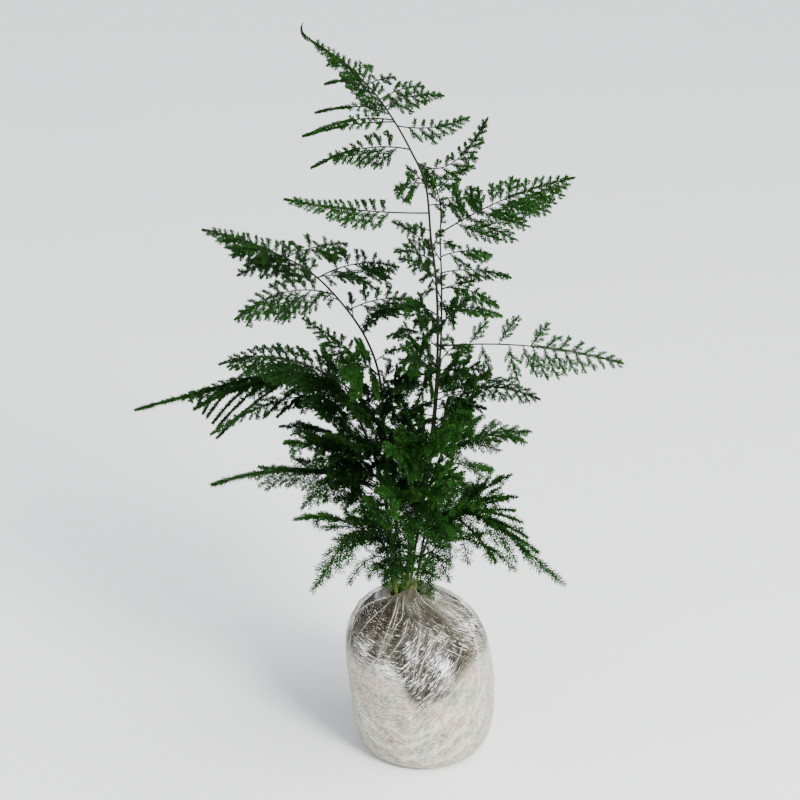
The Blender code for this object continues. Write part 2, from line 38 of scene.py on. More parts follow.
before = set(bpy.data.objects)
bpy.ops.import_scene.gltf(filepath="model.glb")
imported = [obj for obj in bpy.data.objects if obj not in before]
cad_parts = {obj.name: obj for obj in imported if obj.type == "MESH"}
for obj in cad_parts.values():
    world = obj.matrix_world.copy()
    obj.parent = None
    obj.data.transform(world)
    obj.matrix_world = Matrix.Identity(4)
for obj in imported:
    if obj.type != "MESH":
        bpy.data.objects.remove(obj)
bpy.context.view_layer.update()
MM = 0.001
UP = np.array([0.0, 0.0, 1.0])
GOLDEN_ANGLE = 2.39996
THIRDS = (0.0, 2.0 * math.pi / 3.0, 4.0 * math.pi / 3.0)

# The camera's elevation in degrees, where it looks (right, away, up, in mm) and its lens in mm,
# then half the floor's width in m
VIEW_DOWN = 24.0
TARGET = (-12.2, 0.0, 216.0)
LENS = 79.3
FLOOR_HALF = 30.0

# Root ball and film, in mm: height, radius and centre (right, away) of each ring, base first
FILM_RINGS = [
    (0.0, 31.5, 1.0, 0.0), (3.0, 36.5, 1.4, 0.0), (13.0, 40.0, 1.6, 0.0),
    (27.0, 41.4, 1.2, 0.0), (42.0, 41.9, 0.0, 0.0), (55.0, 41.8, -1.5, 0.2),
    (66.0, 40.3, -2.8, 0.5), (75.0, 37.4, -4.0, 0.8), (82.5, 32.4, -5.2, 1.2),
    (88.5, 25.4, -6.8, 1.6), (92.5, 18.2, -8.2, 1.9), (95.5, 13.6, -9.0, 2.0),
    (98.5, 12.3, -9.0, 2.0),
]

# The film's peaked fold: its angle in degrees and its height in mm
TENT_ANGLE = -68.0
TENT_HEIGHT = 8.0

# Seed of the random creases, which are drawn alike for the film and for its sharp folds
CREASE_SEED = 5

# The film's UV map in cm: its width round the ball and the step from ring to ring
FILM_ROUND = 26.4
FILM_STEP = 1.2

# Height of the soil and how deep the stems stand in it, in mm
SOIL_TOP = 93.4
STEM_SINK = 20.0

# Each stem: radius at the soil and at its tip, then points (right, away, up), in mm
STEMS = {
    "stem_tall": (0.95, 0.3, [
        (-9, 2, 96), (-5, 7, 127), (1, 9, 163), (6, 9, 200), (8, 8, 242), (7, 6, 280),
        (4, 5, 305), (1, 3, 335), (-7, 0, 355), (-16, -3, 372), (-26, -6, 387),
        (-39, -10, 401), (-52, -14, 411), (-60, -16, 418), (-59.4, -16, 422)]),
    "stem_second": (0.85, 0.3, [
        (-6.5, 8, 95), (-2, 15, 129), (5, 20, 170), (8, 20, 207), (10, 18, 244),
        (10, 16, 276), (9, 16, 301), (9, 18, 320), (5, 21, 332), (-1, 24, 340)]),
    "stem_left": (0.85, 0.3, [
        (-14.5, -1.5, 98), (-18, -5, 133), (-20, -9, 172), (-21, -13, 210),
        (-23, -17, 237), (-29, -20, 258), (-39, -22, 276), (-54, -25, 295),
        (-70, -28, 307), (-95, -32, 319), (-110, -35, 324)]),
    "stem_low_left": (0.8, 0.3, [
        (-14, 5.5, 97), (-18, 9, 132), (-24, 12, 167), (-30, 13, 186), (-38, 10, 207),
        (-47, 6, 222), (-63, 0, 232), (-84, -8, 234), (-110, -16, 230), (-151, -24, 221)]),
    "stem_low_right": (0.7, 0.25, [
        (-4.5, -4, 99), (2, -12, 134), (12, -18, 156), (25, -24, 160), (39, -30, 155),
        (52, -34, 146), (63, -38, 137), (76, -42, 126)]),
    "stem_mid_right": (0.7, 0.25, [
        (-3.5, 3, 98), (1, 13, 123), (7, 22, 150), (11, 27, 170), (27, 30, 178),
        (45, 30, 183), (61, 28, 184)]),
    "stem_front": (0.7, 0.25, [
        (-9, -4.5, 98), (-8, -16, 127), (-6, -26, 157), (-3, -36, 186), (0, -46, 207),
        (2, -58, 224)]),
    "stem_low_front": (0.65, 0.25, [
        (-13.5, -6, 98), (-17, -14, 122), (-23, -24, 143), (-35, -38, 150),
        (-44, -50, 152), (-51, -60, 145), (-58, -68, 137)]),
    "stem_back": (0.7, 0.25, [
        (-10.5, 10, 95), (-13, 22, 118), (-19, 36, 143), (-24, 50, 162), (-28, 62, 172),
        (-34, 74, 177)]),
}

# The stem point where the end spray begins, its half width as a share of its length, and how
# far its front edge dips, in degrees
LEADERS = {
    "stem_tall": (9, 0.15, 24), "stem_second": (7, 0.34, 10), "stem_left": (7, 0.20, 30),
    "stem_low_left": (4, 0.12, 10), "stem_low_right": (2, 0.15, 0),
    "stem_mid_right": (3, 0.30, 10), "stem_front": (3, 0.30, 0),
    "stem_low_front": (2, 0.18, 0), "stem_back": (3, 0.40, 0),
}

# Each spray: height where its rib leaves the stem, its tip (right, away, up), how far the
# rib arches above a straight line, all in mm, then the half width of the spray as a share
# of its length, and how far its front edge dips, in degrees
SPRAYS = {
    "stem_tall": [
        (399, (-47, -30, 405), 2, 0.20, 0), (387, (-48, -34, 397), 3, 0.16, 0),
        (397, (-26, 14, 394), 1, 0.25, 0), (390, (-15, 20, 387), 1, 0.25, 0),
        (382, (0, 22, 382), 2, 0.25, 0), (378, (10, 18, 378), 3, 0.28, 0),
        (377, (-53, -30, 382), 2, 0.12, 0), (370, (-60, -18, 367), 2, 0.12, 0),
        (371, (-53, -46, 377), 3, 0.10, 0), (368, (23, 14, 368), -3, 0.26, 10),
        (355, (-56, -22, 352), 5, 0.26, 20), (348, (32, 4, 370), -12, 0.26, 0),
        (336, (-15, -34, 344), 2, 0.30, 0), (320, (-70, -20, 335), -2, 0.17, 25),
        (299, (-16, -38, 329), 2, 0.30, 0), (292, (-15, -46, 316), 3, 0.30, 0),
        (244, (106, -6, 240), 5, 0.28, 40), (253, (22, -50, 293), 2, 0.30, 0),
        (262, (-13, -56, 291), 3, 0.24, 0), (233, (-12, -60, 263), 4, 0.28, 0),
        (229, (22, -44, 250), 2, 0.30, 0), (196, (24, -44, 224), 5, 0.30, 0),
        (184, (-15, -48, 215), 5, 0.30, 0), (160, (17, -34, 179), 4, 0.30, 0)],
    "stem_second": [
        (305, (77, 4, 339), 4, 0.30, 25), (283, (47, 22, 278), 3, 0.30, 0),
        (292, (38, 44, 283), 3, 0.35, 0), (274, (41, 20, 262), 4, 0.32, 10),
        (262, (44, 40, 249), 3, 0.30, 0), (322, (32, 50, 310), 3, 0.35, 0),
        (327, (26, 22, 340), 2, 0.35, 0), (276, (-13, 50, 279), 4, 0.30, 0),
        (211, (62, -10, 221), 6, 0.30, 20), (207, (38, 34, 209), 2, 0.25, 0),
        (267, (-1, 70, 270), 3, 0.35, 0), (237, (-13, 60, 233), 4, 0.35, 0),
        (222, (36, -12, 236), 4, 0.30, 15), (230, (24, 48, 227), 4, 0.35, 0),
        (170, (33, 44, 186), 4, 0.30, 0), (150, (-10, 56, 150), 5, 0.30, 0)],
    "stem_left": [
        (314, (-98, -62, 327), 2, 0.14, 0), (307, (-94, -72, 327), 2, 0.14, 0),
        (302, (-91, -60, 309), 4, 0.24, 0), (285, (-94, -52, 283), 8, 0.32, 20),
        (307, (-40, 14, 300), 2, 0.30, 10), (295, (-13, 16, 286), 5, 0.28, 0),
        (276, (0, -8, 274), 5, 0.30, 15), (265, (-14, -44, 285), 3, 0.30, 0),
        (211, (-103, -50, 258), 16, 0.30, 15), (237, (-63, -10, 267), 2, 0.30, 10),
        (237, (-42, -70, 262), 6, 0.35, 0), (222, (-2, -70, 255), 5, 0.30, 0),
        (200, (-44, -58, 243), 6, 0.30, 0), (186, (-14, -64, 213), 6, 0.30, 0),
        (172, (-50, -48, 218), 6, 0.30, 0)],
    "stem_low_left": [
        (186, (-69, -20, 224), 6, 0.32, 15), (177, (-77, -6, 203), 5, 0.28, 15),
        (167, (-73, -36, 207), 6, 0.30, 15), (156, (-112, -30, 180), 10, 0.24, 15),
        (150, (-64, -44, 173), 14, 0.20, 0), (198, (-13, 50, 206), 4, 0.30, 0),
        (207, (-52, 50, 218), 4, 0.30, 0), (224, (-119, -34, 226), 8, 0.08, 10),
        (213, (-109, -50, 219), 9, 0.10, 10),
        (138, (-68, -8, 184), 8, 0.28, 10), (160, (-56, 36, 172), 6, 0.30, 0)],
    "stem_low_right": [
        (134, (48, -66, 149), 10, 0.28, 10), (152, (46, -44, 193), 2, 0.24, 20),
        (152, (48, -60, 188), 4, 0.24, 10), (123, (13, -70, 144), 10, 0.22, 0),
        (115, (5, -50, 122), 8, 0.20, 0)],
    "stem_mid_right": [
        (170, (26, 10, 209), 2, 0.30, 0), (161, (41, 60, 144), 5, 0.30, 0),
        (144, (35, 50, 130), 6, 0.30, 0), (123, (28, 30, 117), 6, 0.30, 10),
        (155, (0, 80, 161), 4, 0.30, 0)],
    "stem_front": [
        (142, (13, -80, 174), 8, 0.30, 0), (157, (-20, -84, 199), 6, 0.30, 0),
        (171, (19, -80, 208), 6, 0.30, 0), (193, (-20, -80, 224), 5, 0.30, 0),
        (204, (15, -84, 237), 4, 0.30, 0)],
    "stem_low_front": [
        (126, (-39, -60, 137), 8, 0.20, 0), (114, (-21, -52, 131), 5, 0.20, 0),
        (138, (-67, -60, 175), 8, 0.24, 0), (126, (-8, -66, 143), 6, 0.22, 0),
        (142, (-27, -74, 191), 6, 0.25, 0)],
    "stem_back": [
        (118, (-47, 40, 105), 8, 0.30, 0), (128, (18, 70, 106), 6, 0.30, 0),
        (143, (-53, 60, 138), 6, 0.30, 0), (152, (6, 90, 130), 5, 0.30, 0),
        (162, (-59, 66, 161), 5, 0.30, 0), (166, (0, 94, 168), 4, 0.30, 0)],
}

# How fresh the green of each stem's needles is, from 0 dark and old to 1 light and young
FRESHNESS = {
    "stem_tall": 0.30, "stem_second": 0.38, "stem_left": 0.12, "stem_low_left": 0.30,
    "stem_low_right": 0.55, "stem_mid_right": 0.42, "stem_front": 0.50,
    "stem_low_front": 0.60, "stem_back": 0.25,
}

# Ribs that end in a rod without twigs, clad in needles: stem and spray number, then the rod's
# share of the rib
RODS = {
    ("stem_tall", 1): 0.45, ("stem_tall", 6): 0.50, ("stem_tall", 7): 0.45,
    ("stem_tall", 8): 0.45, ("stem_tall", 10): 0.22, ("stem_left", 0): 0.30,
    ("stem_left", 1): 0.30, ("stem_low_left", 7): 0.30, ("stem_low_left", 3): 0.22,
}

# Sprays set one by one: stem and spray number, then the share of the rib that is bare, the half
# width share, the dip of the front edge in degrees and how wide apart the twigs stand
LOOSE = {
    ("stem_tall", 16): (0.12, 0.19, 60, 1.2), ("stem_tall", 13): (0.25, 0.16, 22, 0.75),
    ("stem_tall", 14): (0.12, 0.20, 30, 1.1), ("stem_tall", 15): (0.12, 0.20, 35, 1.1),
    ("stem_tall", 17): (0.12, 0.22, 30, 1.1), ("stem_tall", 18): (0.12, 0.20, 30, 1.1),
    ("stem_second", 7): (0.15, 0.22, 20, 1.1), ("stem_second", 10): (0.15, 0.22, 20, 1.1),
    ("stem_left", 5): (0.12, 0.32, 20, 1.0), ("stem_left", 6): (0.12, 0.32, 25, 1.0),
    ("stem_second", 8): (0.10, 0.26, 20, 1.1),
    ("stem_low_right", 0): (0.25, 0.22, 10, 1.3), ("stem_low_front", 0): (0.2, 0.16, 0, 1.4),
}

# Branches without side twigs: for each stem, where it leaves the stem (distance to the
# right), its tip (right, away, up) and how far it arches, in mm
BRUSHES = {
    "stem_low_left": [
        (-120, (-121, -27, 227), 3), (-112, (-118, -29, 225), 3), (-103, (-115, -31, 222), 3),
        (-94, (-113, -31, 220), 3), (-85, (-110, -32, 217), 3), (-77, (-108, -32, 214), 3),
        (-65, (-108, -33, 209), 3), (-55, (-83, -34, 221), 3), (-49, (-76, -35, 222), 3)],
    "stem_low_right": [
        (8, (48, -46, 173), 3), (16, (52, -46, 166), 3), (25, (55, -46, 157), 2),
        (14, (38, -60, 150), 4), (34, (61, -46, 148), 1), (6, (44, -50, 182), 3)],
}

# The sprigs of the spray that stands out to the right: share of its rib, length in mm and
# the angle to the rib in degrees, above it or below it where negative
RIGHT_SPRIGS = [
    (0.17, 16, 58), (0.24, 15, -79), (0.33, 19, 66), (0.385, 18.5, -78), (0.46, 16, -66),
    (0.50, 16, 66), (0.51, 17, -63), (0.57, 16, -62), (0.575, 10.5, 50), (0.625, 13.5, -60),
    (0.65, 9, 60), (0.685, 12, -58), (0.72, 7.5, 56), (0.74, 10.5, -55), (0.785, 6.5, 52),
    (0.80, 8, -52), (0.85, 5.5, 46), (0.86, 6, -46), (0.905, 4.5, 42), (0.92, 4.5, -42),
    (0.955, 3.2, 36), (0.965, 3.2, -36),
]

# Small sprigs that fill the middle: stem, how many, then their lowest and highest height in mm
SPRIGS = [
    ("stem_tall", 12, 116, 235), ("stem_tall", 9, 245, 335), ("stem_second", 9, 116, 225),
    ("stem_second", 6, 245, 310), ("stem_left", 10, 118, 215), ("stem_left", 8, 222, 292),
    ("stem_low_left", 7, 118, 215), ("stem_low_right", 3, 116, 150),
    ("stem_mid_right", 4, 115, 172), ("stem_front", 6, 115, 200),
    ("stem_low_front", 3, 112, 148), ("stem_back", 4, 112, 165),
]

# Long creases of the film as seen from the front: points as (angle in degrees, ring number),
# then the half width in mm and the brightness, which raises the crease and whitens its painted
# highlight
CREASES = [
    ([(-131, 11.9), (-150, 11.2), (-166, 10.1), (-173.5, 8.7), (-179.5, 7.65)], 0.9, 1.0),
    ([(-108.5, 11.6), (-112, 10.2), (-116, 8.8), (-121.5, 6.9)], 0.55, 1.0),
    ([(-94.5, 11.4), (-99, 9.7), (-108, 8.9), (-118, 7.2)], 0.45, 0.9),
    ([(-90.5, 9.6), (-97, 8.6), (-104, 7.9), (-115, 6.8)], 0.5, 1.0),
    ([(-103, 11.7), (-108, 9.9), (-112, 8.6), (-119, 7.4)], 0.4, 0.7),
    ([(-76.5, 9.0), (-84, 8.05), (-93, 6.0), (-95, 5.4)], 0.5, 0.85),
    ([(-46.5, 8.75), (-73.5, 7.8), (-84, 6.8), (-91, 5.55)], 0.5, 0.75),
    ([(-52, 8.0), (-74, 7.1), (-82, 6.3), (-88, 5.2)], 0.4, 0.7),
    ([(-40, 7.4), (-58, 6.3), (-72, 5.3), (-86, 4.6)], 0.4, 0.6),
    ([(-53, 5.4), (-70.5, 4.7), (-86, 4.25)], 0.6, 0.65),
    ([(-36, 11.8), (-28, 10.4), (-26.5, 8.95), (-28.5, 7.3)], 0.7, 0.5),
    ([(-48, 11.8), (-42, 10.3), (-38, 9.0), (-40, 7.7)], 0.5, 0.5),
    ([(-131.5, 5.95), (-126, 6.5), (-121.5, 6.93)], 0.6, 0.9),
    ([(-153, 3.7), (-145, 3.3), (-138.5, 3.1)], 0.6, 0.7),
    ([(-171, 9.2), (-165, 7.6), (-158, 6.2), (-150, 5.4)], 0.5, 0.6),
    ([(-125, 11.6), (-140, 9.6), (-150, 7.6), (-154, 6.2)], 0.45, 0.6),
    ([(-134, 11.5), (-133, 9.6), (-130, 8.0)], 0.4, 0.45),
    ([(-150, 3.4), (-140, 2.5), (-124, 2.2), (-110, 2.35), (-98, 2.6), (-84, 3.0)], 0.35, 0.8),
    ([(-106, 1.8), (-92, 2.0), (-78, 2.4), (-60, 3.0), (-45, 3.7), (-32, 4.4)], 0.4, 0.9),
    ([(-152, 3.9), (-142, 3.4), (-134, 3.0), (-126, 2.8)], 0.45, 0.9),
    ([(-120, 3.3), (-100, 3.0), (-80, 3.4), (-60, 4.2), (-42, 5.2)], 0.3, 0.6),
    ([(-92, 1.4), (-70, 1.8), (-50, 2.5), (-34, 3.2)], 0.35, 0.8),
]

# Places where the film gets painted silvery glare, where painted shade darkens it in a brown
# hollow,
# or where it stays clear: angle in degrees, ring number, half width in degrees and in rings, then
# the strength
GLARE_PLACES = [
    (-114, 6.1, 10, 0.55, 1.0), (-139.5, 6.9, 7, 0.7, 0.8), (-69, 6.4, 8, 0.7, 1.0),
    (-94, 7.5, 5, 0.6, 0.7), (-66, 8.3, 9, 0.5, 0.25), (-100, 5.6, 10, 0.4, 0.4),
    (-74, 7.0, 20, 1.9, 0.20), (-86, 5.2, 12, 0.9, 0.20),
]
SHADED_HOLLOWS = [(-88, 11.6, 5.0, 0.22, 1.0), (-77, 11.1, 5.0, 0.25, 0.9), (-97, 10.9, 4.0, 0.20, 0.6)]
CLEAR_PLACES = [
    (-150, 8.6, 16, 1.1, 1.0), (-76, 11.2, 12, 0.8, 1.0), (-94, 5.4, 7, 0.6, 0.9),
    (-74, 4.9, 13, 0.35, 0.8), (-104, 7.6, 13, 1.3, 0.8), (-80, 9.4, 9, 0.7, 0.6),
    (-120, 9.6, 24, 1.3, 0.9), (-50, 6.6, 9, 1.1, 0.5), (-82, 6.2, 6, 1.0, 0.6),
]

# The usual settings of a rib: the shares of it that are a rod, bare and clad in needles, how
# wide apart its twigs stand, how dense its needles are and its twigs where they are given
RIB = {"rod": 0.06, "bare": 0.0, "clad": 0.5, "gap": 1.0, "dense": 1.0, "fixed": None}


class FoliageSettings(bpy.types.PropertyGroup):
    """Sizes and colours of the sprays."""
    twig_step: FloatProperty(
        name="Twig spacing", description="Distance between side twigs along a rib",
        default=0.0026, min=0.001, max=0.02, unit="LENGTH")
    needle_step: FloatProperty(
        name="Needle spacing",
        description="Distance between needles along a twig of the upper sprays",
        default=0.00020, min=0.00005, max=0.01, unit="LENGTH")
    needle_low: FloatProperty(
        name="Lower needles", description="Length of the needles near the soil",
        default=0.0042, min=0.001, max=0.01, unit="LENGTH")
    needle_high: FloatProperty(
        name="Upper needles", description="Length of the needles in the upper sprays",
        default=0.0021, min=0.001, max=0.01, unit="LENGTH")
    needle_width: FloatProperty(
        name="Needle width", description="Width of a needle at its widest",
        default=0.00078, min=0.0001, max=0.001, unit="LENGTH")
    old_green: FloatVectorProperty(
        name="Old green", description="Colour of the oldest needles",
        default=(0.0002, 0.0022, 0.0003), size=3, subtype="COLOR")
    young_green: FloatVectorProperty(
        name="Young green", description="Colour of the youngest needles",
        default=(0.005, 0.042, 0.003), size=3, subtype="COLOR")
    seed: IntProperty(name="Seed", description="Seed of the small variations", default=11)


class BallSettings(bpy.types.PropertyGroup):
    """Looks of the soil ball and its film."""
    columns: IntProperty(
        name="Film columns", description="Grid columns round the film", default=300, min=64)
    milk: FloatVectorProperty(
        name="Milky film", description="Colour where many layers of film overlap",
        default=(0.33, 0.305, 0.26), size=3, subtype="COLOR")
    peat: FloatVectorProperty(
        name="Peat", description="Main colour of the soil",
        default=(0.006, 0.0045, 0.003), size=3, subtype="COLOR")


class StageSettings(bpy.types.PropertyGroup):
    """Camera, light and floor."""
    elevation: FloatProperty(
        name="Camera elevation", description="Angle of the camera above the horizon",
        default=math.radians(VIEW_DOWN), subtype="ANGLE")
    distance: FloatProperty(
        name="Camera distance", description="Distance from the camera to its target",
        default=0.95, min=0.1, unit="LENGTH")
    key_power: FloatProperty(
        name="Key light", description="Power of the large soft light, in watts",
        default=46.0, min=0.0)
    overhead: FloatProperty(
        name="Overhead light", description="Strength of the wide light from above",
        default=3.7, min=0.0)
    floor_colour: FloatVectorProperty(
        name="Floor", description="Colour of the floor", default=(0.86, 0.87, 0.882),
        size=3, subtype="COLOR")


def with_ends(knots):
    """The knots with one more before and after them, straight on."""
    return np.vstack([2 * knots[0] - knots[1], knots, 2 * knots[-1] - knots[-2]])


def catmull_rom(a, b, c, d, t):
    """The place at share t from b to c on the smooth curve through a, b, c and d."""
    return 0.5 * (2 * b + (c - a) * t + (2 * a - 5 * b + 4 * c - d) * t ** 2
                  + (3 * b - a - 3 * c + d) * t ** 3)


def smooth_route(points, spacing):
    """Points about every spacing along a Catmull-Rom curve through the given points."""
    knots = with_ends(np.array(points, dtype=float))
    t = np.linspace(0.0, 1.0, 24, endpoint=False)[:, None]
    fine = [catmull_rom(*four, t) for four in zip(knots, knots[1:], knots[2:], knots[3:])]
    fine = np.vstack(fine + [knots[-2:-1]])
    along = path_lengths(fine)
    marks = np.linspace(0.0, along[-1], max(2, round(along[-1] / spacing) + 1))
    return at_length(fine, along, marks)


def path_lengths(line):
    """Distance from the first point to each point of a line."""
    return np.concatenate([[0.0], np.cumsum(np.linalg.norm(np.diff(line, axis=0), axis=1))])


def at_length(line, along, marks):
    """Points of a line at given distances along it."""
    return np.stack([np.interp(marks, along, line[:, k]) for k in range(3)], axis=1)


def unit(vectors):
    """Vectors scaled to length one."""
    return vectors / np.maximum(np.linalg.norm(vectors, axis=-1, keepdims=True), 1e-9)


def lattice_noise(x, y, seed, wrap=0):
    """Value noise from 0 to 1: random corners of a unit grid, blended by a smooth step.

    With wrap, the pattern repeats after that many cells in x.
    """
    ix, iy = np.floor(x).astype(np.int64), np.floor(y).astype(np.int64)
    fx, fy = x - ix, y - iy
    fx, fy = fx * fx * (3 - 2 * fx), fy * fy * (3 - 2 * fy)

    def corner(cx, cy):
        cx = np.mod(cx, wrap) if wrap else cx
        mixed = (cx * 374761393 + cy * 668265263 + seed * 144269504) & 0x7FFFFFFF
        mixed = ((mixed ^ (mixed >> 13)) * 1274126177) & 0x7FFFFFFF
        return ((mixed ^ (mixed >> 16)) & 0xFFFFFF) / float(0x1000000)

    low = corner(ix, iy) * (1 - fx) + corner(ix + 1, iy) * fx
    high = corner(ix, iy + 1) * (1 - fx) + corner(ix + 1, iy + 1) * fx
    return low * (1 - fy) + high * fy


def ridge(values):
    """Noise from 0 to 1 folded so that its middle becomes a sharp crest of 1."""
    return 1.0 - np.abs(2.0 * values - 1.0)


def smooth_step(low, high, values):
    """A smooth rise from 0 at low to 1 at high."""
    t = np.clip((values - low) / (high - low), 0.0, 1.0)
    return t * t * (3 - 2 * t)


def mesh_piece(name, verts, faces, material, nodes=(), floats=None, smooth=True):
    """A piece of the object from whole arrays, riding on the one body."""
    faces = np.asarray(faces, dtype=np.int32)
    mesh = bpy.data.meshes.new(name)
    mesh.vertices.add(len(verts))
    mesh.vertices.foreach_set("co", (np.asarray(verts) * MM).astype(np.float32).ravel())
    sides = faces.shape[1]
    mesh.loops.add(faces.size)
    mesh.loops.foreach_set("vertex_index", faces.ravel())
    mesh.polygons.add(len(faces))
    mesh.polygons.foreach_set("loop_start", np.arange(0, faces.size, sides, dtype=np.int32))
    mesh.polygons.foreach_set("use_smooth", np.full(len(faces), smooth))
    mesh.update(calc_edges=True)
    for title, values in (floats or {}).items():
        attribute = mesh.attributes.new(title, "FLOAT", "POINT")
        attribute.data.foreach_set("value", np.asarray(values, dtype=np.float32))
    mesh.materials.append(material)
    obj = bpy.data.objects.new(name, mesh)
    bpy.context.scene.collection.objects.link(obj)
    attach(obj, "root")
    if nodes:
        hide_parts(*nodes)
    return obj


def stem_line(name):
    """A stem's whole line: straight in the soil, then its smooth curve to the tip."""
    points = STEMS[name][2]
    foot = np.array([[points[0][0], points[0][1], SOIL_TOP - STEM_SINK]])
    return np.vstack([foot, smooth_route(points, 2.0)])


def arched(foot, tip, arch, count):
    """A parabola from foot to tip whose middle is an arch above the straight line."""
    middle = (foot + tip) / 2.0 + UP * 2.0 * arch
    t = np.linspace(0.0, 1.0, count)[:, None]
    return (1 - t) ** 2 * foot + 2 * t * (1 - t) * middle + t ** 2 * tip


def rib_of_spray(line, spray):
    """A side spray's rib: a parabola from the stem to its tip, as a fine line."""
    height, tip, lift = spray[:3]
    first = int(np.argmax(line[:, 2] >= height))
    low, high = line[first - 1], line[first]
    start = low + (high - low) * (height - low[2]) / max(high[2] - low[2], 1e-6)
    return arched(start, np.array(tip, dtype=float), lift, 33)


def rib_of_leader(name, line):
    """The rib of a stem's own end spray: the last stretch of the stem."""
    turn_point = np.array(STEMS[name][2][LEADERS[name][0]], dtype=float)
    first = int(np.linalg.norm(line - turn_point, axis=1).argmin())
    return line[first:]


def side_vectors(along, dip):
    """The near side and upper side of a spray whose rib runs along, its front edge dipped."""
    near = unit(np.cross(along, UP))
    near *= np.where(near[:, 1:2] > 0.0, -1.0, 1.0)
    above = unit(np.cross(near, along))
    above *= np.where(above[:, 2:3] < 0.0, -1.0, 1.0)
    lean = math.radians(dip)
    return (math.cos(lean) * near - math.sin(lean) * above,
            math.cos(lean) * above + math.sin(lean) * near)


def twig_reach(share):
    """Twig length along a rib against the spray's half width: up to a quarter, then down."""
    return np.minimum(1.0, 0.62 + 1.6 * share) * (1.08 - share) / 0.85


def highness(height):
    """0 for sprays low in the plant, 1 for the upper ones, by a height in mm."""
    return smooth_step(200.0, 240.0, height)


def needle_length(height, settings):
    """Needle length by height: long near the soil, short in the upper sprays."""
    share = smooth_step(120.0, 215.0, height)
    low, high = settings.needle_low / MM, settings.needle_high / MM
    return low + (high - low) * share


def twig_spacing(rib, length, low, settings):
    """The step between a rib's twigs in mm: wider on long ribs and low in the plant."""
    high = smooth_step(225.0, 260.0, rib["line"][-1, 2])
    step = settings.twig_step / MM * (0.85 + 0.3 * min(1.0, length / 90.0))
    return step * (rib["gap"] * (1.0 + 0.25 * low - 0.14 * high))


def lifted_dip(line, dip):
    """A spray's dip in degrees, more in the upper sprays, and the factor for its width.

    The factor keeps the width that the camera sees: the sine of its elevation plus the old
    dip, over the same with the new dip, and at least 0.62.
    """
    top = line[-1, 2]
    tilt = dip + 26.0 * smooth_step(215.0, 270.0, top) + 22.0 * smooth_step(310.0, 350.0, top)
    seen, turned = np.sin(np.radians(np.clip([VIEW_DOWN + dip, VIEW_DOWN + tilt], 20.0, 90.0)))
    return tilt, max(0.62, seen / turned)


def grow_twigs(ribs, settings, rng):
    """Side twigs of all ribs of a stem, as parabolas start + first t + second t squared.

    They leave the rib on alternate sides at even steps, at an angle that closes towards
    the tip, wider on the far side, bend forwards and hang a little. Ribs that reach straight
    ahead carry them all round. None grows on a rib's bare foot or its rod. A rib with fixed
    twigs has them at given shares, lengths and turns instead.
    """
    grown = []
    for rib in ribs:
        line = rib["line"]
        along_rib = path_lengths(line)
        length = along_rib[-1]
        leafy = (1.0 - rib["rod"]) * length
        room = leafy - rib["bare"] * length
        if room < 3.0:
            continue
        low = smooth_step(230.0, 160.0, line[:, 2].mean())
        count = max(2, int(room / twig_spacing(rib, length, low, settings)))
        rank = (np.arange(count) + rng.uniform(0.35, 0.65, count)) / count
        marks = rib["bare"] * length + room * rank ** 0.80
        far = np.arange(count) % 2
        if rib["fixed"]:
            marks, fixed_reach, fixed_turn = np.array(rib["fixed"]).T
            marks, far, count = marks * length, fixed_turn > 0.0, len(marks)
        share = marks / leafy
        roots = at_length(line, along_rib, marks)
        along = unit(at_length(line, along_rib, marks + 0.5)
                     - at_length(line, along_rib, marks - 0.5))
        tilt, narrower = lifted_dip(line, rib["dip"])
        near, above = side_vectors(along, tilt)
        side = np.where(far, -1.0, 1.0)[:, None]
        turn = np.where(far, rib["far"], rib["turn"]) * (1.0 - 0.40 * share)
        turn = turn + rng.uniform(-6, 6, count)
        if rib["fixed"]:
            turn = np.abs(fixed_turn)
        turn = np.radians(turn)[:, None]
        ahead = smooth_step(0.6, 0.9, abs(unit(line[-1] - line[0])[1]))
        lift = rng.uniform(-1.0, 1.0, (count, 1)) * (0.14 + 0.50 * low + 0.70 * ahead)
        out = unit(near * side + above * lift)
        reach = rib["spread"] * narrower * length * twig_reach(share) * np.where(far, 0.9, 1.1)
        reach = reach / np.maximum(0.5, np.sin(turn[:, 0]))
        reach = np.maximum(2.6, reach * rng.uniform(0.82, 1.12, count))
        if rib["fixed"]:
            reach = fixed_reach
        way = along * np.cos(turn) + out * np.sin(turn)
        bend = along * 0.14 - UP * 0.12
        grown.append({
            "root": roots, "first": way * reach[:, None], "second": bend * reach[:, None],
            "above": above, "length": reach, "dense": np.full(count, rib["dense"]),
            "fresh": rib["fresh"] + 0.22 * share + 0.35 * smooth_step(140.0, 118.0, roots[:, 2]),
            "needle": needle_length(roots[:, 2], settings)})
    return {key: np.concatenate([g[key] for g in grown]) for key in grown[0]}


def on_axis(axes, index, t):
    """Place and direction at share t of the chosen axes."""
    t = t[:, None]
    first, second = axes["first"][index], axes["second"][index]
    return axes["root"][index] + first * t + second * t * t, unit(first + 2.0 * second * t)


def spread_marks(counts, low, high):
    """For each axis, counts even shares from low to high: axis numbers, shares and ranks."""
    index = np.repeat(np.arange(len(counts)), counts)
    rank = np.arange(counts.sum()) - np.repeat(np.cumsum(counts) - counts, counts)
    return index, low + (high - low) * (rank + 0.5) / counts[index], rank


